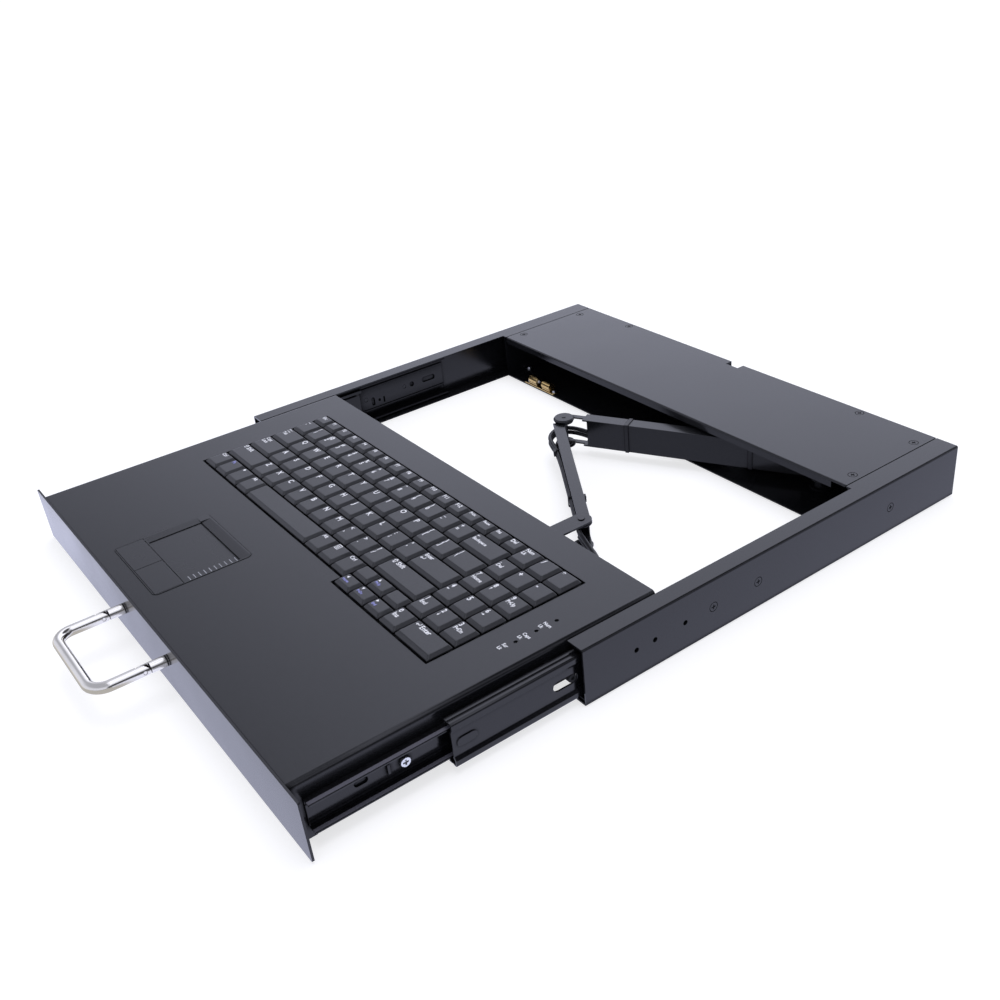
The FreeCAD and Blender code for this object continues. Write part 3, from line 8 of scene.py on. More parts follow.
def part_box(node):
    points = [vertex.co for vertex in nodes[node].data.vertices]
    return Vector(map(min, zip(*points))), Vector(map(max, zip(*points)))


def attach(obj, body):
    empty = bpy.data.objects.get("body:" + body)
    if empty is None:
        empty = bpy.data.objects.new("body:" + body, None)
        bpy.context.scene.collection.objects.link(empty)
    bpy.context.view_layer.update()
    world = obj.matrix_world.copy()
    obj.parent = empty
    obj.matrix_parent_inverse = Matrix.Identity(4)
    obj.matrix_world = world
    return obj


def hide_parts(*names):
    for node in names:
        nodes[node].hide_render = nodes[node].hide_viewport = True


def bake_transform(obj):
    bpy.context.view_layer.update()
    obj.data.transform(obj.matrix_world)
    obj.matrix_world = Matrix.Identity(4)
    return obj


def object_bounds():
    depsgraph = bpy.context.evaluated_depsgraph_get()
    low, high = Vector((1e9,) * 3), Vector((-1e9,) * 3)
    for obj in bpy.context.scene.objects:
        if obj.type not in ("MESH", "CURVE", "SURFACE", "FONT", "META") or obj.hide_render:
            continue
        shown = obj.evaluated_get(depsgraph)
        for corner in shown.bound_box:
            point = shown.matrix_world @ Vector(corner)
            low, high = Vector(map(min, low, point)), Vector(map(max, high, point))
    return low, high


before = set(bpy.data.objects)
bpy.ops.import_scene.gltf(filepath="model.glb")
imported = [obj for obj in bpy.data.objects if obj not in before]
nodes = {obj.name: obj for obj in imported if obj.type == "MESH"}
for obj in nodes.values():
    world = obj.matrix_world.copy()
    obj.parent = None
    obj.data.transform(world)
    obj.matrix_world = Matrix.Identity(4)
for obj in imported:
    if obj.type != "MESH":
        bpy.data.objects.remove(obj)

scene = bpy.context.scene
cad_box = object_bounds()

# Camera: placed from points of the drawer, channels and keyboard
lens = bpy.data.cameras.new("camera")
lens.sensor_width = 36
lens.lens = 40.402
lens.shift_x = -0.05559
lens.shift_y = 0.02027
lens.clip_start = 0.02
lens.clip_end = 60
camera = bpy.data.objects.new("camera", lens)
scene.collection.objects.link(camera)
camera.matrix_world = Matrix((
    (0.612494, -0.369017, 0.699055, 0.63867),
    (0.787169, 0.365530, -0.496741, -0.36797),
    (-0.072220, 0.854526, 0.514364, 0.44030),
    (0, 0, 0, 1)))
scene.camera = camera
scene.view_settings.view_transform = "Standard"


# Materials
class Paint:
    # One material, with the nodes that feed its shader
    def __init__(self, name):
        self.material = bpy.data.materials.new("look_" + name)
        self.material.use_nodes = True
        self.tree = self.material.node_tree
        self.shader = self.tree.nodes["Principled BSDF"]
        self.place = self.add("ShaderNodeTexCoord").outputs["Object"]

    def add(self, kind, **words):
        made = self.tree.nodes.new(kind)
        for name, value in words.items():
            setattr(made, name, value)
        return made

    def link(self, first, second):
        self.tree.links.new(first, second)

    def set(self, name, value):
        self.shader.inputs[name].default_value = value

    def noise(self, scale, detail=2.0, stretch=(1, 1, 1)):
        spread = self.add("ShaderNodeMapping")
        spread.inputs["Scale"].default_value = stretch
        self.link(self.place, spread.inputs["Vector"])
        made = self.add("ShaderNodeTexNoise")
        made.inputs["Scale"].default_value = scale
        made.inputs["Detail"].default_value = detail
        self.link(spread.outputs["Vector"], made.inputs["Vector"])
        return made.outputs["Fac"]

    def spread(self, source, low, high, start=0.3, stop=0.7):
        made = self.add("ShaderNodeMapRange")
        made.inputs["From Min"].default_value = start
        made.inputs["From Max"].default_value = stop
        made.inputs["To Min"].default_value = low
        made.inputs["To Max"].default_value = high
        self.link(source, made.inputs["Value"])
        return made.outputs["Result"]

    def colours(self, source, first, second, start=0.3, stop=0.7):
        made = self.add("ShaderNodeValToRGB")
        made.color_ramp.elements[0].position = start
        made.color_ramp.elements[0].color = (*first, 1)
        made.color_ramp.elements[1].position = stop
        made.color_ramp.elements[1].color = (*second, 1)
        self.link(source, made.inputs["Fac"])
        self.link(made.outputs["Color"], self.shader.inputs["Base Color"])

    def openness(self, distance):
        # How free a point is of neighbours within a distance, from 0 to 1
        made = self.add("ShaderNodeAmbientOcclusion", samples=6)
        made.inputs["Distance"].default_value = distance
        return made.outputs["AO"]

    def cover(self, amount, colour):
        # Another colour laid over the base where the amount is 1.
        # Inputs 6 and 7 and output 2 of the mix are its colours.
        mixed = self.add("ShaderNodeMix", data_type="RGBA")
        self.link(amount, mixed.inputs["Factor"])
        self.link(self.shader.inputs["Base Color"].links[0].from_socket, mixed.inputs[6])
        mixed.inputs[7].default_value = (*colour, 1)
        self.link(mixed.outputs[2], self.shader.inputs["Base Color"])

    def bump(self, source, strength, depth, before=None):
        made = self.add("ShaderNodeBump")
        made.inputs["Strength"].default_value = strength
        made.inputs["Distance"].default_value = depth
        self.link(source, made.inputs["Height"])
        if before is not None:
            self.link(before, made.inputs["Normal"])
        return made.outputs["Normal"]


def coat(name, low, high, rough, swing, grain, depth, wave=0.0, nook=0.0, full=0.97, track=None):
    # A sprayed or moulded black surface: fine grain, a slow change of gloss, faint long waves, and painted
    # shade in nooks, where its reflections are turned down.
    # A painted highlight is a pale strip along the outer flange tops, given by its outer distance from the
    # middle plane.
    paint = Paint(name)
    fine = paint.noise(grain, detail=3.0)
    slow = paint.noise(scale=18.0, detail=3.0)
    paint.colours(paint.noise(scale=grain * 0.4, detail=4.0), low, high)
    paint.link(paint.spread(slow, rough - swing, rough + swing), paint.shader.inputs["Roughness"])
    normal = paint.bump(fine, strength=0.35, depth=depth)
    if wave:
        ripple = paint.noise(scale=9.0, detail=1.0)
        normal = paint.bump(ripple, strength=0.3, depth=wave, before=normal)
    paint.link(normal, paint.shader.inputs["Normal"])
    paint.set("IOR", 1.5)
    # Painted highlight: a pale lilac strip standing in for the light the flange lip reflects
    if track:
        apart = paint.add("ShaderNodeSeparateXYZ")
        paint.link(paint.place, apart.inputs["Vector"])
        away = paint.add("ShaderNodeMath", operation="ABSOLUTE")
        paint.link(apart.outputs["X"], away.inputs[0])
        within = paint.add("ShaderNodeMath", operation="MULTIPLY")
        begins = paint.spread(away.outputs[0], 0.0, 1.0, start=track - 0.0034, stop=track - 0.0030)
        ends = paint.spread(away.outputs[0], 1.0, 0.0, start=track - 0.0006, stop=track - 0.0004)
        paint.link(begins, within.inputs[0])
        paint.link(ends, within.inputs[1])
        paint.cover(within.outputs[0], (0.115, 0.113, 0.135))
    # Painted shade: the reflection is turned down where other surfaces crowd close within the reach
    if nook:
        gloss = paint.spread(paint.openness(nook), low=0.04, high=0.5, start=0.70, stop=full)
        paint.link(gloss, paint.shader.inputs["Specular IOR Level"])
    return paint.material


def metal(name, low, high, rough, swing, grain, depth, stretch=(1, 1, 1), nook=0.0):
    # Bare or plated metal with a fine drawn grain, a slow change of colour and painted shade darkening its
    # nooks
    paint = Paint(name)
    drawn = paint.noise(grain, detail=4.0, stretch=stretch)
    slow = paint.noise(scale=60.0, detail=3.0)
    paint.colours(slow, low, high)
    paint.set("Metallic", 1.0)
    paint.link(paint.spread(drawn, rough - swing, rough + swing), paint.shader.inputs["Roughness"])
    paint.link(paint.bump(drawn, strength=0.25, depth=depth), paint.shader.inputs["Normal"])
    # Painted shade: near black laid over the colour where other surfaces crowd close
    if nook:
        painted_nook_shade = paint.spread(paint.openness(nook), low=1.0, high=0.0, start=0.35, stop=0.8)
        paint.cover(painted_nook_shade, (0.02, 0.02, 0.02))
    return paint.material


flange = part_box("slide_inner_right")[1].x
looks = {
    "powder_black": coat("powder_black", (0.0055, 0.0057, 0.0064), (0.0095, 0.0098, 0.0108),
                         rough=0.21, swing=0.03, grain=1500, depth=0.00001, wave=0.00001, nook=0.0045),
    # slide_black is the same coat as slide_open and slide_inner with deeper painted shade in its nooks; those
    # two get only a little
    "slide_black": coat("slide_black", (0.003, 0.003, 0.0036), (0.006, 0.006, 0.007),
                        rough=0.16, swing=0.04, grain=900, depth=0.000005, wave=0.000006,
                        nook=0.014, full=0.94),
    "slide_open": coat("slide_open", (0.003, 0.003, 0.0036), (0.006, 0.006, 0.007),
                       rough=0.15, swing=0.04, grain=900, depth=0.000005, wave=0.000006, nook=0.003),
    "slide_inner": coat("slide_inner", (0.003, 0.003, 0.0036), (0.006, 0.006, 0.007),
                        rough=0.15, swing=0.04, grain=900, depth=0.000005, wave=0.000006,
                        nook=0.003, track=flange),
    "panel_black": coat("panel_black", (0.0055, 0.0057, 0.0064), (0.0095, 0.0098, 0.0108),
                        rough=0.19, swing=0.03, grain=1500, depth=0.00001, wave=0.00001),
    "cage_steel": metal("cage_steel", (0.20, 0.20, 0.21), (0.30, 0.30, 0.31),
                        rough=0.34, swing=0.08, grain=900, depth=0.00001, stretch=(1, 0.08, 1)),
    "screw_black": coat("screw_black", (0.010, 0.010, 0.011), (0.022, 0.022, 0.024),
                        rough=0.28, swing=0.08, grain=1800, depth=0.00001),
    "screw_zinc": metal("screw_zinc", (0.72, 0.74, 0.76), (0.86, 0.87, 0.88),
                        rough=0.22, swing=0.08, grain=1500, depth=0.00001, nook=0.0015),
    "brass": metal("brass", (0.74, 0.50, 0.19), (0.90, 0.68, 0.32),
                   rough=0.22, swing=0.08, grain=1100, depth=0.00001, stretch=(0.2, 1, 1), nook=0.0015),
    "ball_steel": metal("ball_steel", (0.55, 0.55, 0.56), (0.66, 0.66, 0.67),
                        rough=0.12, swing=0.03, grain=2000, depth=0.000003),
    "chrome": metal("chrome", (0.85, 0.82, 0.74), (0.93, 0.90, 0.82),
                    rough=0.15, swing=0.04, grain=1400, depth=0.000006, stretch=(1, 1, 0.25), nook=0.003),
    "key_black": coat("key_black", (0.017, 0.0175, 0.019), (0.026, 0.0265, 0.0285),
                      rough=0.31, swing=0.03, grain=2600, depth=0.000008),
    "touch_black": coat("touch_black", (0.009, 0.0093, 0.0102), (0.014, 0.0144, 0.0158),
                        rough=0.28, swing=0.03, grain=3000, depth=0.000008),
    "pan_black": coat("pan_black", (0.004, 0.004, 0.0045), (0.008, 0.008, 0.009),
                      rough=0.40, swing=0.05, grain=1200, depth=0.00001),
    "membrane_black": coat("membrane_black", (0.003, 0.003, 0.003), (0.007, 0.007, 0.007),
                           rough=0.65, swing=0.05, grain=1500, depth=0.00001),
    "lamp_dark": coat("lamp_dark", (0.004, 0.005, 0.005), (0.009, 0.010, 0.010),
                      rough=0.25, swing=0.03, grain=1500, depth=0.000004),
    "pin_black": coat("pin_black", (0.006, 0.006, 0.007), (0.014, 0.014, 0.016),
                      rough=0.30, swing=0.05, grain=1400, depth=0.00001),
    "clip_black": coat("clip_black", (0.005, 0.005, 0.006), (0.011, 0.011, 0.012),
                       rough=0.40, swing=0.05, grain=1400, depth=0.00001),
    "cable_black": coat("cable_black", (0.005, 0.005, 0.006), (0.012, 0.012, 0.013),
                        rough=0.40, swing=0.06, grain=900, depth=0.00002),
}


def ink(name, low, high):
    # Printed legend: slightly uneven ink
    paint = Paint(name)
    paint.colours(paint.noise(scale=4000), low, high)
    dull = paint.spread(paint.noise(scale=1500), low=0.42, high=0.6)
    paint.link(dull, paint.shader.inputs["Roughness"])
    return paint.material


white_ink = ink("white_ink", (0.80, 0.81, 0.83), (0.95, 0.95, 0.96))
blue_ink = ink("blue_ink", (0.26, 0.27, 0.62), (0.36, 0.37, 0.76))
grey_ink = ink("grey_ink", (0.30, 0.31, 0.33), (0.44, 0.45, 0.48))

# Every carried-over solid gets its look, and most get soft edges
edges = {"key_black": 0.0007, "powder_black": 0.00035, "slide_black": 0.0003, "touch_black": 0.0003,
         "brass": 0.00035, "screw_zinc": 0.0003, "pin_black": 0.0003, "screw_black": 0.00012,
         "pan_black": 0.0002, "clip_black": 0.0002, "cage_steel": 0.00015, "lamp_dark": 0.0001}
bezel_edge = 0.0001
sharp_angle = 0.6
weld_gap = 0.000002
plain = ("rear_tray", "left_channel", "right_channel")
special = {"slide_middle": "slide_open", "slide_inner": "slide_inner", "front_panel": "panel_black"}
for name, node in nodes.items():
    slot = node.data.materials[0].name.split(".")[0]
    node.data.materials[0] = looks[special.get(name.replace("_left", "").replace("_right", ""), slot)]
    if slot in edges and name not in plain:
        weld = node.modifiers.new("weld", "WELD")
        weld.merge_threshold = weld_gap
        soft = node.modifiers.new("soft_edges", "BEVEL")
        soft.width = bezel_edge if name == "touch_bezel" else edges[slot]
        soft.segments = 3 if slot == "key_black" else 2
        soft.limit_method = "ANGLE"
        soft.angle_limit = sharp_angle


# Printed legends, made as thin letters lying on each cap
def mesh_object(name, mesh, material, body):
    made = bpy.data.objects.new(name, mesh)
    scene.collection.objects.link(made)
    mesh.materials.clear()
    mesh.materials.append(material)
    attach(made, body)
    return made


ink_thick = 0.00003
ink_lift = 0.00004
ink_join = 0.000001


def printed(name, made, material, body):
    # A film of ink with a little thickness
    bmesh.ops.remove_doubles(made, verts=made.verts, dist=ink_join)
    mesh = bpy.data.meshes.new(name)
    made.to_mesh(mesh)
    made.free()
    piece = mesh_object(name, mesh, material, body)
    film = piece.modifiers.new("film", "SOLIDIFY")
    film.thickness = ink_thick
    film.offset = 0.0


letters = {}
letter_width = 0.96
sign_width = 0.68
flat = 0.00001


def letter_mesh(words):
    if words not in letters:
        curve = bpy.data.curves.new("letters", "FONT")
        curve.body = words
        curve.size = 1.0
        curve.resolution_u = 2
        curve.offset = 0.03
        holder = bpy.data.objects.new("letters", curve)
        scene.collection.objects.link(holder)
        bpy.context.view_layer.update()
        ready = holder.evaluated_get(bpy.context.evaluated_depsgraph_get())
        letters[words] = bpy.data.meshes.new_from_object(ready)
        bpy.data.objects.remove(holder)
    return letters[words]


def band(outer, inner):
    # The strip between two outlines, as four-sided faces
    count = len(outer)
    return [[outer[i], outer[(i + 1) % count], inner[(i + 1) % count], inner[i]] for i in range(count)]


def bar(x0, y0, x1, y1):
    return [(x0, y0), (x1, y0), (x1, y1), (x0, y1)]


signs = {"solid": [[(0, 0), (0.62, 0), (0.31, 0.6)]],
         "slim": [[(0.26, 0), (0.37, 0), (0.37, 0.42), (0.54, 0.42), (0.315, 0.76), (0.09, 0.42),
                   (0.26, 0.42)]],
         "bent": [bar(0.74, 0.30, 0.86, 0.72), bar(0.24, 0.28, 0.86, 0.40),
                  [(0, 0.34), (0.30, 0.12), (0.30, 0.56)]],
         "hollow": band([(0.40, 0.88), (0, 0.44), (0.18, 0.44), (0.18, 0), (0.62, 0), (0.62, 0.44),
                         (0.80, 0.44)],
                        [(0.40, 0.71), (0.23, 0.53), (0.29, 0.53), (0.29, 0.11), (0.51, 0.11),
                         (0.51, 0.53), (0.57, 0.53)]),
         "tabs": [bar(0, 0.44, 0.08, 0.76), bar(0.26, 0.56, 0.92, 0.64),
                  [(0.08, 0.60), (0.30, 0.46), (0.30, 0.74)], bar(0.84, 0, 0.92, 0.32),
                  bar(0, 0.12, 0.66, 0.20), [(0.84, 0.16), (0.62, 0.02), (0.62, 0.30)]],
         "list": [*band(bar(0, 0, 0.74, 0.80), bar(0.08, 0.08, 0.66, 0.72)),
                  bar(0.18, 0.50, 0.56, 0.58), bar(0.18, 0.34, 0.56, 0.42), bar(0.18, 0.18, 0.56, 0.26)],
         "diamond": [[(0.36, 0), (0.72, 0.38), (0.36, 0.76), (0, 0.38)]]}


def sign_mesh(kind):
    # Arrows and other plain signs, turned by quarter turns to the left
    if kind not in letters:
        words = kind.split("_")
        turns = {"up": 0, "left": 1, "down": 2, "right": 3}[words[1]] if len(words) > 1 else 0
        made = bpy.data.meshes.new("sign_" + kind)
        points = []
        faces = []
        for shape in signs[words[0]]:
            for i in range(turns):
                shape = [(sign_width - y, x) for x, y in shape]
            faces.append(list(range(len(points), len(points) + len(shape))))
            points.extend((x, y, 0) for x, y in shape)
        made.from_pydata(points, [], faces)
        letters[kind] = made
    return letters[kind]


def is_sign(words):
    return len(words) > 1 and words[0] == "@"


def set_letters(target, words, at, size):
    source = sign_mesh(words[1:]) if is_sign(words) else letter_mesh(words)
    piece = bmesh.new()
    piece.from_mesh(source)
    piece.transform(Matrix.Translation(at) @ Matrix.Diagonal((size * letter_width, size, 1, 1)))
    kept = bpy.data.meshes.new("kept")
    piece.to_mesh(kept)
    piece.free()
    target.from_mesh(kept)
    bpy.data.meshes.remove(kept)


def caps(node):
    # Left edge, rear edge and height of the flat top of each cap of a node, from left to right
    spots = {}
    mesh = nodes[node].data
    top = max(v.co.z for v in mesh.vertices)
    for face in mesh.polygons:
        corners = [mesh.vertices[i].co for i in face.vertices]
        if all(top - corner.z < flat for corner in corners):
            xs = [corner.x for corner in corners]
            rears = spots.setdefault((round(min(xs), 4), round(max(xs), 4)), [])
            rears.append(max(corner.y for corner in corners))
    return [(sides[0], max(rears), top) for sides, rears in sorted(spots.items())]


legends = {
    "keys_function": ["Esc"] + ["F%d" % i for i in range(1, 13)] + ["PrtSc", "Pause", "Ins", "Del"],
    "keys_number": ["~|`", "!|1", "@|2", "#|3", "$|4", "%|5", "^|6", "&|7", "*|8", "(|9", ")|0", "_|-", "+|=",
                    "@slim_left|Backspace"],
    "keys_upper": ["@tabs|Tab"] + list("QWERTYUIOP") + ["{|[", "}|]", "bar|\\"],
    "keys_home": ["Caps|Lock"] + list("ASDFGHJKL") + [":|;", "\"|'", "Enter|@bent"],
    "keys_lower": ["@hollow|Shift"] + list("ZXCVBNM") + ["<|,", ">|.", "?|/", "@hollow|Shift"],
    "keys_control": ["Ctrl", "Fn", "@diamond", "Alt", "Alt", "@list", "Ctrl"],
    "keys_arrow_rear": ["", "@solid_up|PgUp", ""],
    "keys_arrow_front": ["@solid_left|Home", "@solid_down|PgDn", "@solid_right|End"],
    "keys_pad_lock": ["Num|Lk", "/", "*"],
    "keys_pad_sign": [".|Del", "+", "-"],
    "keys_pad_high": ["7|Home", "8|@slim_up", "9|PgUp"],
    "keys_pad_mid": ["4|@slim_left", "5", "6|@slim_right"],
    "keys_pad_low": ["1|End", "2|@slim_down", "3|PgDn"],
    "keys_pad_zero": ["0|Ins", "@bent|Enter"],
}
# Heights of the legends, and their places on a cap
word_size = 0.0042
single_size = 0.0062
pair_size = 0.0052
function_size = 0.0044
narrow_size = 0.0033
arrow_size = 0.0034
arrow_word_size = 0.0029
long_size = 0.0038
wide_size = 0.0050
letter_height = 0.78
line_gap = 0.0007
edge_gap = 0.0004
inset = 0.0011
aside_step = 0.0052
for node, words in legends.items():
    inked = bmesh.new()
    tinted = bmesh.new()
    arrows = node.startswith("keys_arrow")
    for (left, rear, top), legend in zip(caps(node), words):
        lines = ["|" if line == "bar" else line for line in legend.split("|") if line]
        row = 0.0
        for i, line in enumerate(lines):
            word = len(line) > 1 and not is_sign(line)
            size = word_size if word else (single_size if len(lines) == 1 else pair_size)
            if node == "keys_function":
                size = function_size if len(line) < 4 else narrow_size
            if arrows:
                size = arrow_size if is_sign(line) else arrow_word_size
            if len(line) > 5:
                size = long_size
            if "Shift" in lines or node == "keys_pad_zero":
                size = wide_size
            beside = line == "Shift" or (node == "keys_pad_zero" and line == "Enter")
            if not beside:
                row += size * letter_height + (line_gap if i else edge_gap)
            at = Vector((left + inset + (aside_step if beside else 0), rear - row, top + ink_lift))
            colour = tinted if (line == "Fn" or (arrows and i == 1)) else inked
            set_letters(colour, line, at, size)
    for suffix, made, material in (("white", inked, white_ink), ("blue", tinted, blue_ink)):
        if len(made.verts):
            printed(node + "_legend_" + suffix, made, material, node)
        else:
            made.free()

# Small words beside the lamps, and the scroll scale of the touch pad
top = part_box("drawer_tray")[1].z + ink_lift
lamp_size = 0.0036
lamp_left = 0.1868
first_up = 0.0004
second_down = 0.0034
lamp_words = bmesh.new()
for y, first, second in ((-0.0632, "Num", "Lk"), (-0.0787, "Caps", "Lk"), (-0.0936, "Scr", "Lk")):
    set_letters(lamp_words, first, Vector((lamp_left, y + first_up, top)), lamp_size)
    set_letters(lamp_words, second, Vector((lamp_left, y - second_down, top)), lamp_size)
printed("lamp_words", lamp_words, white_ink, "drawer")
lo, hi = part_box("touch_surface")
tick_count = 10
tick_pitch = 0.0037
tick_thick = 0.0005
tick_front = 0.0040
tick_left = 0.0076
tick_right = 0.0008
ticks = bmesh.new()
for i in range(tick_count):
    y = lo.y + tick_front + i * tick_pitch
    outline = bar(hi.x - tick_left, y, hi.x - tick_right, y + tick_thick)
    ticks.faces.new([ticks.verts.new((x, v, hi.z + ink_lift)) for x, v in outline])
printed("touch_scale", ticks, grey_ink, "drawer")


# Small fittings: turned pieces, tie bands and screws.
# Their places are in millimetres from the source's origin, which lies in front of the frame's by this much.
origin_shift = 61.875
elbow = (-39.4, 192.8)
front_link_angle = -31.24
smooth_angle = 0.7
tie_wide = 0.0026
tie_head = (0.0046, 0.0026, 0.0048)
tie_head_height = 0.0205
tie_edge = 0.0002


def along(direction):
    return Vector((0, 0, 1)).rotation_difference(Vector(direction)).to_matrix().to_4x4()


def turned(outline, sides=28):
    # Outline of (radius, height) pairs in millimetres, swept round the upright axis and closed at both ends
    made = bmesh.new()
    rings = []
    for radius, height in outline:
        ring = []
        for i in range(sides):
            angle = 2 * math.pi * i / sides
            ring.append(made.verts.new((radius * math.cos(angle) / 1000, radius * math.sin(angle) / 1000,
                                        height / 1000)))
        rings.append(ring)
    for below, above in zip(rings, rings[1:]):
        for i in range(sides):
            made.faces.new((below[i], below[(i + 1) % sides], above[(i + 1) % sides], above[i]))
    made.faces.new(list(reversed(rings[0])))
    made.faces.new(rings[-1])
    return made


def fitting(name, made, place, direction, slot, body):
    centre = Vector((place[0], place[1] - origin_shift, place[2])) / 1000
    made.transform(Matrix.Translation(centre) @ along(direction))
    mesh = bpy.data.meshes.new(name)
    made.to_mesh(mesh)
    made.free()
    for face in mesh.polygons:
        face.use_smooth = True
    piece = mesh_object(name, mesh, looks[slot], body)
    mesh.set_sharp_from_angle(angle=smooth_angle)


def screw(name, place, direction, radius, body):
    # Pan head on a washer, with a sunk round middle
    r = radius
    made = turned([(r * 1.35, 0), (r * 1.35, 0.5), (r, 0.55), (r, 1.1), (r * 0.86, 1.75), (r * 0.5, 2.1)])
    cap = [f for f in made.faces if f.normal.z > 0.9 and f.calc_center_median().z > 0.0020]
    bmesh.ops.inset_region(made, faces=cap, thickness=r * 0.00018, depth=-0.0006)
    fitting(name, made, place, direction, "screw_zinc", body)


def tie(name, start, aside, body):
    # A band round the leads and the wall of the front link, with its square head on one side
    made = bmesh.new()
    outer = [(-11.7, 15.4), (-10.6, 14.4), (-0.1, 14.4), (-0.1, 23.6), (-10.6, 23.6), (-11.7, 22.6)]
    inner = [(-11.1, 15.7), (-10.3, 15.1), (-0.8, 15.1), (-0.8, 22.9), (-10.3, 22.9), (-11.1, 22.3)]
    for shapes in band(outer, inner):
        near = [made.verts.new((start / 1000, y / 1000, z / 1000)) for y, z in shapes]
        made.faces.new(near)
    made.normal_update()
    bmesh.ops.remove_doubles(made, verts=made.verts, dist=0.00001)
    grown = bmesh.ops.extrude_face_region(made, geom=made.faces[:])
    moved = [v for v in grown["geom"] if isinstance(v, bmesh.types.BMVert)]
    bmesh.ops.translate(made, verts=moved, vec=(tie_wide, 0, 0))
    head = bmesh.ops.create_cube(made, size=1.0)
    bmesh.ops.scale(made, verts=head["verts"], vec=tie_head)
    centre = (start / 1000 + tie_wide / 2, aside / 1000, tie_head_height)
    bmesh.ops.translate(made, verts=head["verts"], vec=centre)
    bmesh.ops.bevel(made, geom=made.edges[:], offset=tie_edge, segments=2, affect="EDGES")
    bmesh.ops.recalc_face_normals(made, faces=made.faces)
    pivot = Vector((elbow[0], elbow[1] - origin_shift, 0)) / 1000
    made.transform(Matrix.Translation(pivot) @ Matrix.Rotation(math.radians(front_link_angle), 4, "Z"))
    mesh = bpy.data.meshes.new(name)
    made.to_mesh(mesh)
    made.free()
    mesh_object(name, mesh, looks["clip_black"], body)


tie("tie_rear", 34, -12.2, "arm_front")
tie("tie_front", 112, 0.8, "arm_front")
screw("tray_screw", (-203.5, 276.4, 2.2), (0, 0, 1), 2.6, "frame")
screw("catch_screw_left", (-176.7, 257.4, 3.2), (0, 0, 1), 1.75, "frame")
screw("catch_screw_right", (-139.3, 257.4, 3.2), (0, 0, 1), 1.75, "frame")
for side, sign in (("left", -1), ("right", 1)):
    seal = turned([(3.2, 0), (3.7, 0.08), (3.7, 0.72), (3.2, 0.8)])
    fitting("post_seal_" + side, seal, (sign * 38, -183.1, 26.6), (0, 1, 0), "membrane_black", "drawer")
for side, sign in (("right", 1), ("left", -1)):
    plug = turned([(2.2, 0), (3.05, 0.4), (3.05, 3.9), (2.7, 4.4), (1.3, 4.4), (1.1, 3.2)])
    place = (sign * 213.6, -4.4, 20.8)
    fitting("slide_stop_" + side, plug, place, (sign, 0, 0), "membrane_black", "middle_" + side)


lead_radius = 0.0017
lead_apart = 0.004


def cable(name, points, body, bend=None):
    # Two round leads, one above the other, on one smooth line
    curve = bpy.data.curves.new(name, "CURVE")
    curve.dimensions = "3D"
    for lift in (0.0, lead_apart):
        line = curve.splines.new("NURBS")
        line.points.add(len(points) - 1)
        for point, (x, y, z) in zip(line.points, points):
            point.co = (x / 1000, y / 1000, z / 1000 + lift, 1)
        line.order_u = 3
        line.use_endpoint_u = True
        line.resolution_u = 10
    curve.bevel_depth = lead_radius
    curve.bevel_resolution = 4
    curve.use_fill_caps = True
    made = bpy.data.objects.new(name, curve)
    scene.collection.objects.link(made)
    if bend:
        bpy.context.view_layer.update()
        ready = made.evaluated_get(bpy.context.evaluated_depsgraph_get())
        mesh = bpy.data.meshes.new_from_object(ready)
        bpy.data.objects.remove(made)
        made = bpy.data.objects.new(name, mesh)
        scene.collection.objects.link(made)
    made.data.materials.clear()
    made.data.materials.append(looks["cable_black"])
    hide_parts(name.replace("_lead", ""))
    if bend:
        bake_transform(made)
    else:
        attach(made, body)


cable("cable_rear_lead",
      [(-22.71, 144.2, 17), (11.56, 162.81, 17), (130.16, 227.23, 17), (145.89, 242.26, 17)], "arm_rear")
cable("cable_elbow_lead",
      [(-23.24, 143.91, 17), (-35.31, 142.25, 17), (-46.5, 134.5, 17), (-46.6, 124.3, 17),
       (-39.5, 114.6, 17), (-28.5, 109.6, 17), (-16.3, 105.4, 17), (9.22, 90.55, 17)], "arm_rear",
      ("arm_front", (-0.030, 0.143, 0.019), (-0.012, 0.100, 0.019)))
cable("cable_front_lead", [(9.65, 90.3, 17), (24.2, 81.5, 17), (87.9, 43.1, 17)], "arm_front")
cable("cable_drawer_lead",
      [(93.8, 39.0, 17), (102.2, 35.4, 17), (138, 24.13, 17), (150, 0.43, 23), (150, -31.57, 25.8),
       (150, -51.57, 25.8)], "drawer")
cable("cable_box_lead", [(158.5, 245.52, 17), (169.5, 263.52, 17), (120, 287.13, 17), (72, 287.13, 17)],
      "frame")

# Floor and light
floor_gap = 0.0004
floor_mesh = bpy.data.meshes.new("floor")
floor_mesh.from_pydata([(-9, -9, 0), (9, -9, 0), (9, 9, 0), (-9, 9, 0)], [], [(0, 1, 2, 3)])
floor = bpy.data.objects.new("floor", floor_mesh)
floor.location.z = cad_box[0].z - floor_gap
scene.collection.objects.link(floor)
ground = bpy.data.materials.new("floor")
ground.use_nodes = True
floor_mesh.materials.append(ground)


def wire(tree, kind, settings=(), links=(), **words):
    made = tree.nodes.new(kind)
    for name, value in words.items():
        setattr(made, name, value)
    for socket, value in settings:
        made.inputs[socket].default_value = value
    for socket, source in links:
        tree.links.new(source, made.inputs[socket])
    return made


def maths(tree, operation, *sources):
    # Arithmetic on one or two values, each a number or a socket
    made = wire(tree, "ShaderNodeMath", operation=operation)
    for i, source in enumerate(sources):
        if isinstance(source, float):
            made.inputs[i].default_value = source
        else:
            tree.links.new(source, made.inputs[i])
    return made.outputs[0]


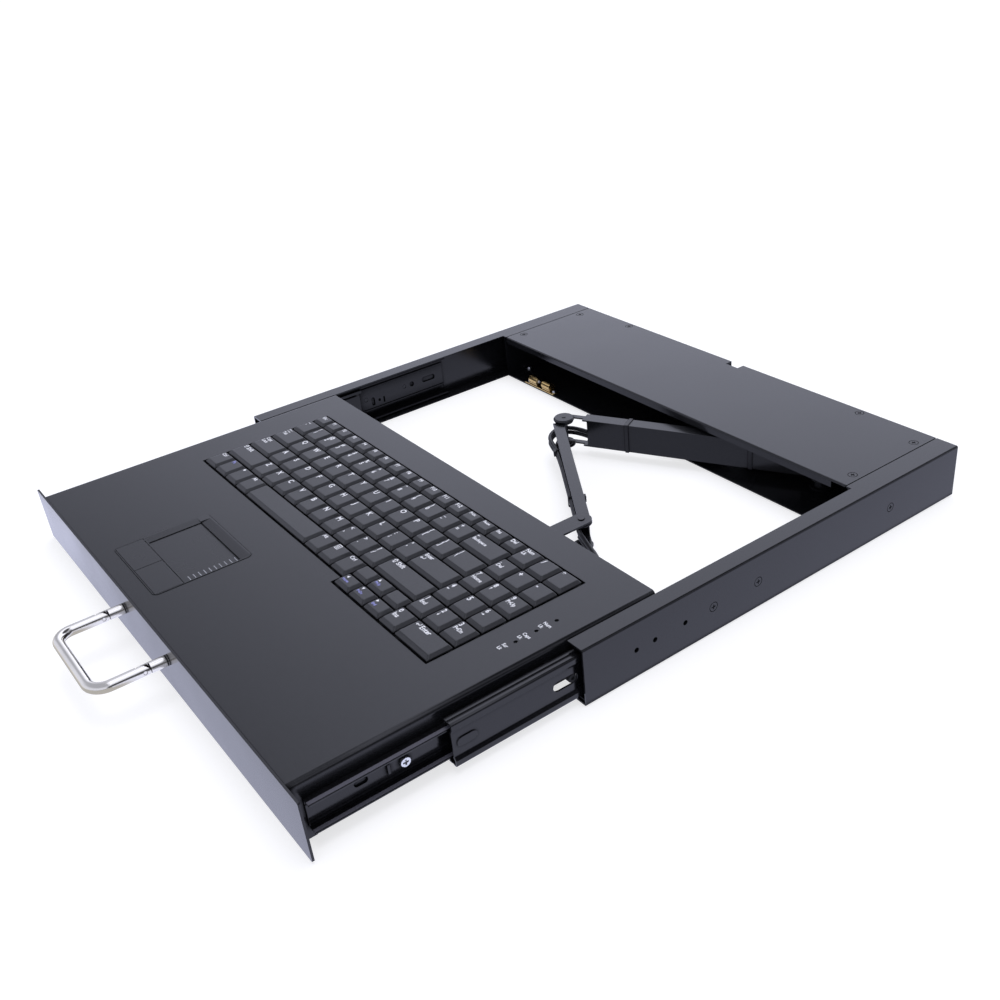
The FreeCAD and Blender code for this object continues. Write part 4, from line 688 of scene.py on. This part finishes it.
def ramp(tree, source, start, stop, low, high):
    # A smooth change of level, from low at the start value to high at the stop value
    made = wire(tree, "ShaderNodeMapRange",
                (("From Min", start), ("From Max", stop), ("To Min", low), ("To Max", high)),
                (("Value", source),), interpolation_type="SMOOTHSTEP")
    return made.outputs["Result"]


def facing(tree, source, direction):
    # How closely the line of view follows a direction
    made = wire(tree, "ShaderNodeVectorMath", ((1, direction),), ((0, source),), operation="DOT_PRODUCT")
    return made.outputs["Value"]


def either(tree, amount, first, second):
    # The second shader where the amount is 1, the first where it is 0
    links = ((0, amount), (1, first.outputs[0]), (2, second.outputs[0]))
    return wire(tree, "ShaderNodeMixShader", (), links)


# The camera sees a near white floor, other light bounces off a grey one, and mirrors see a glow of painted
# light: a painted pool of light strongest on the left, painted shade dimming it beyond the right side,
# a painted shadow between the channels, and a grey painted shadow in front, bluish elsewhere
tree = ground.node_tree
tree.nodes.clear()
path = wire(tree, "ShaderNodeLightPath").outputs
mirrored = maths(tree, "MAXIMUM", path["Is Glossy Ray"], path["Is Transmission Ray"])
matte = wire(tree, "ShaderNodeBsdfDiffuse", (("Color", (0.42, 0.42, 0.43, 1)),))
white = wire(tree, "ShaderNodeEmission", (("Color", (1, 1, 1, 1)), ("Strength", 0.70)))
seen = wire(tree, "ShaderNodeAddShader", (), ((0, matte.outputs[0]), (1, white.outputs[0])))
spot = wire(tree, "ShaderNodeTexCoord").outputs["Object"]
across = wire(tree, "ShaderNodeSeparateXYZ", (), (("Vector", spot),)).outputs
# Painted light: a pool of light on the left, and painted shade beyond the right side, seen in reflections
lit = ramp(tree, across["X"], -0.34, -0.02, 1.6, 1.0)
beyond = ramp(tree, across["X"], 0.29, 0.37, 1.0, 0.45)
# Painted shadow on the floor between the channels, under the bay, seen in reflections
back = ramp(tree, across["Y"], -0.08, 0.0, 0.0, 1.0)
within = ramp(tree, maths(tree, "ABSOLUTE", across["X"]), 0.195, 0.232, 0.42, 0.0)
clear_of_painted_shadow = maths(tree, "SUBTRACT", 1.0, maths(tree, "MULTIPLY", back, within))
shine = maths(tree, "MULTIPLY", maths(tree, "MULTIPLY", lit, beyond), clear_of_painted_shadow)
# Painted shadow: in front of the drawer, under the handle, the glow turns grey
clear_of_front_shadow = ramp(tree, across["Y"], -0.272, -0.258, 0.0, 1.0)
tint = wire(tree, "ShaderNodeMix", ((6, (0.50, 0.49, 0.50, 1)), (7, (0.85, 0.88, 1.12, 1))),
            (("Factor", clear_of_front_shadow),), data_type="RGBA")
glow = wire(tree, "ShaderNodeEmission", (), (("Color", tint.outputs[2]), ("Strength", shine)))
bounce = wire(tree, "ShaderNodeBsdfDiffuse", (("Color", (0.50, 0.52, 0.60, 1)),))
unseen = either(tree, mirrored, bounce, glow)
surface = either(tree, path["Is Camera Ray"], unseen, seen)
wire(tree, "ShaderNodeOutputMaterial", (), (("Surface", surface.outputs[0]),))

# The room: its level rises from the left round to the rear, with dim patches at the rear right corner,
# on the right and overhead, and a little low light from the front
world = bpy.data.worlds.new("studio")
scene.world = world
world.use_nodes = True
tree = world.node_tree
tree.nodes.clear()
view = wire(tree, "ShaderNodeTexCoord").outputs["Generated"]
split = wire(tree, "ShaderNodeSeparateXYZ", (), (("Vector", view),)).outputs
left = maths(tree, "MULTIPLY", split["X"], -1.0)
round_about = maths(tree, "ARCTAN2", split["Y"], left)
rise = ramp(tree, round_about, 0.0, 0.58, 0.46, 1.33)
corner = ramp(tree, facing(tree, view, (0.60, 0.60, 0.53)), 0.82, 0.94, 1.0, 0.34)
side = ramp(tree, facing(tree, view, (0.97, 0.20, 0.13)), 0.85, 0.96, 1.0, 0.06)
crown = ramp(tree, facing(tree, view, (0.05, 0.55, 0.83)), 0.89, 0.95, 1.0, 0.05)
patches = maths(tree, "MULTIPLY", maths(tree, "MULTIPLY", corner, crown), side)
frontal = ramp(tree, round_about, -0.45, -0.08, 0.34, 0.0)
low = ramp(tree, split["Z"], 0.40, 0.75, 1.0, 0.0)
front = maths(tree, "MULTIPLY", frontal, low)
level = maths(tree, "MULTIPLY", maths(tree, "ADD", rise, front), patches)
room = wire(tree, "ShaderNodeBackground", (("Color", (0.94, 0.97, 1.16, 1)),), (("Strength", level),))
open_white = wire(tree, "ShaderNodeBackground", (("Color", (1, 1, 1, 1)), ("Strength", 1.0)))
path = wire(tree, "ShaderNodeLightPath").outputs
both = either(tree, path["Is Camera Ray"], room, open_white)
wire(tree, "ShaderNodeOutputWorld", (), (("Surface", both.outputs[0]),))

sun_data = bpy.data.lights.new("overhead", "SUN")
sun_data.energy = 1.1
sun_data.angle = 0.7
sun = bpy.data.objects.new("overhead", sun_data)
sun.rotation_euler = (-0.12, 0.06, 0)
sun.visible_glossy = False
scene.collection.objects.link(sun)
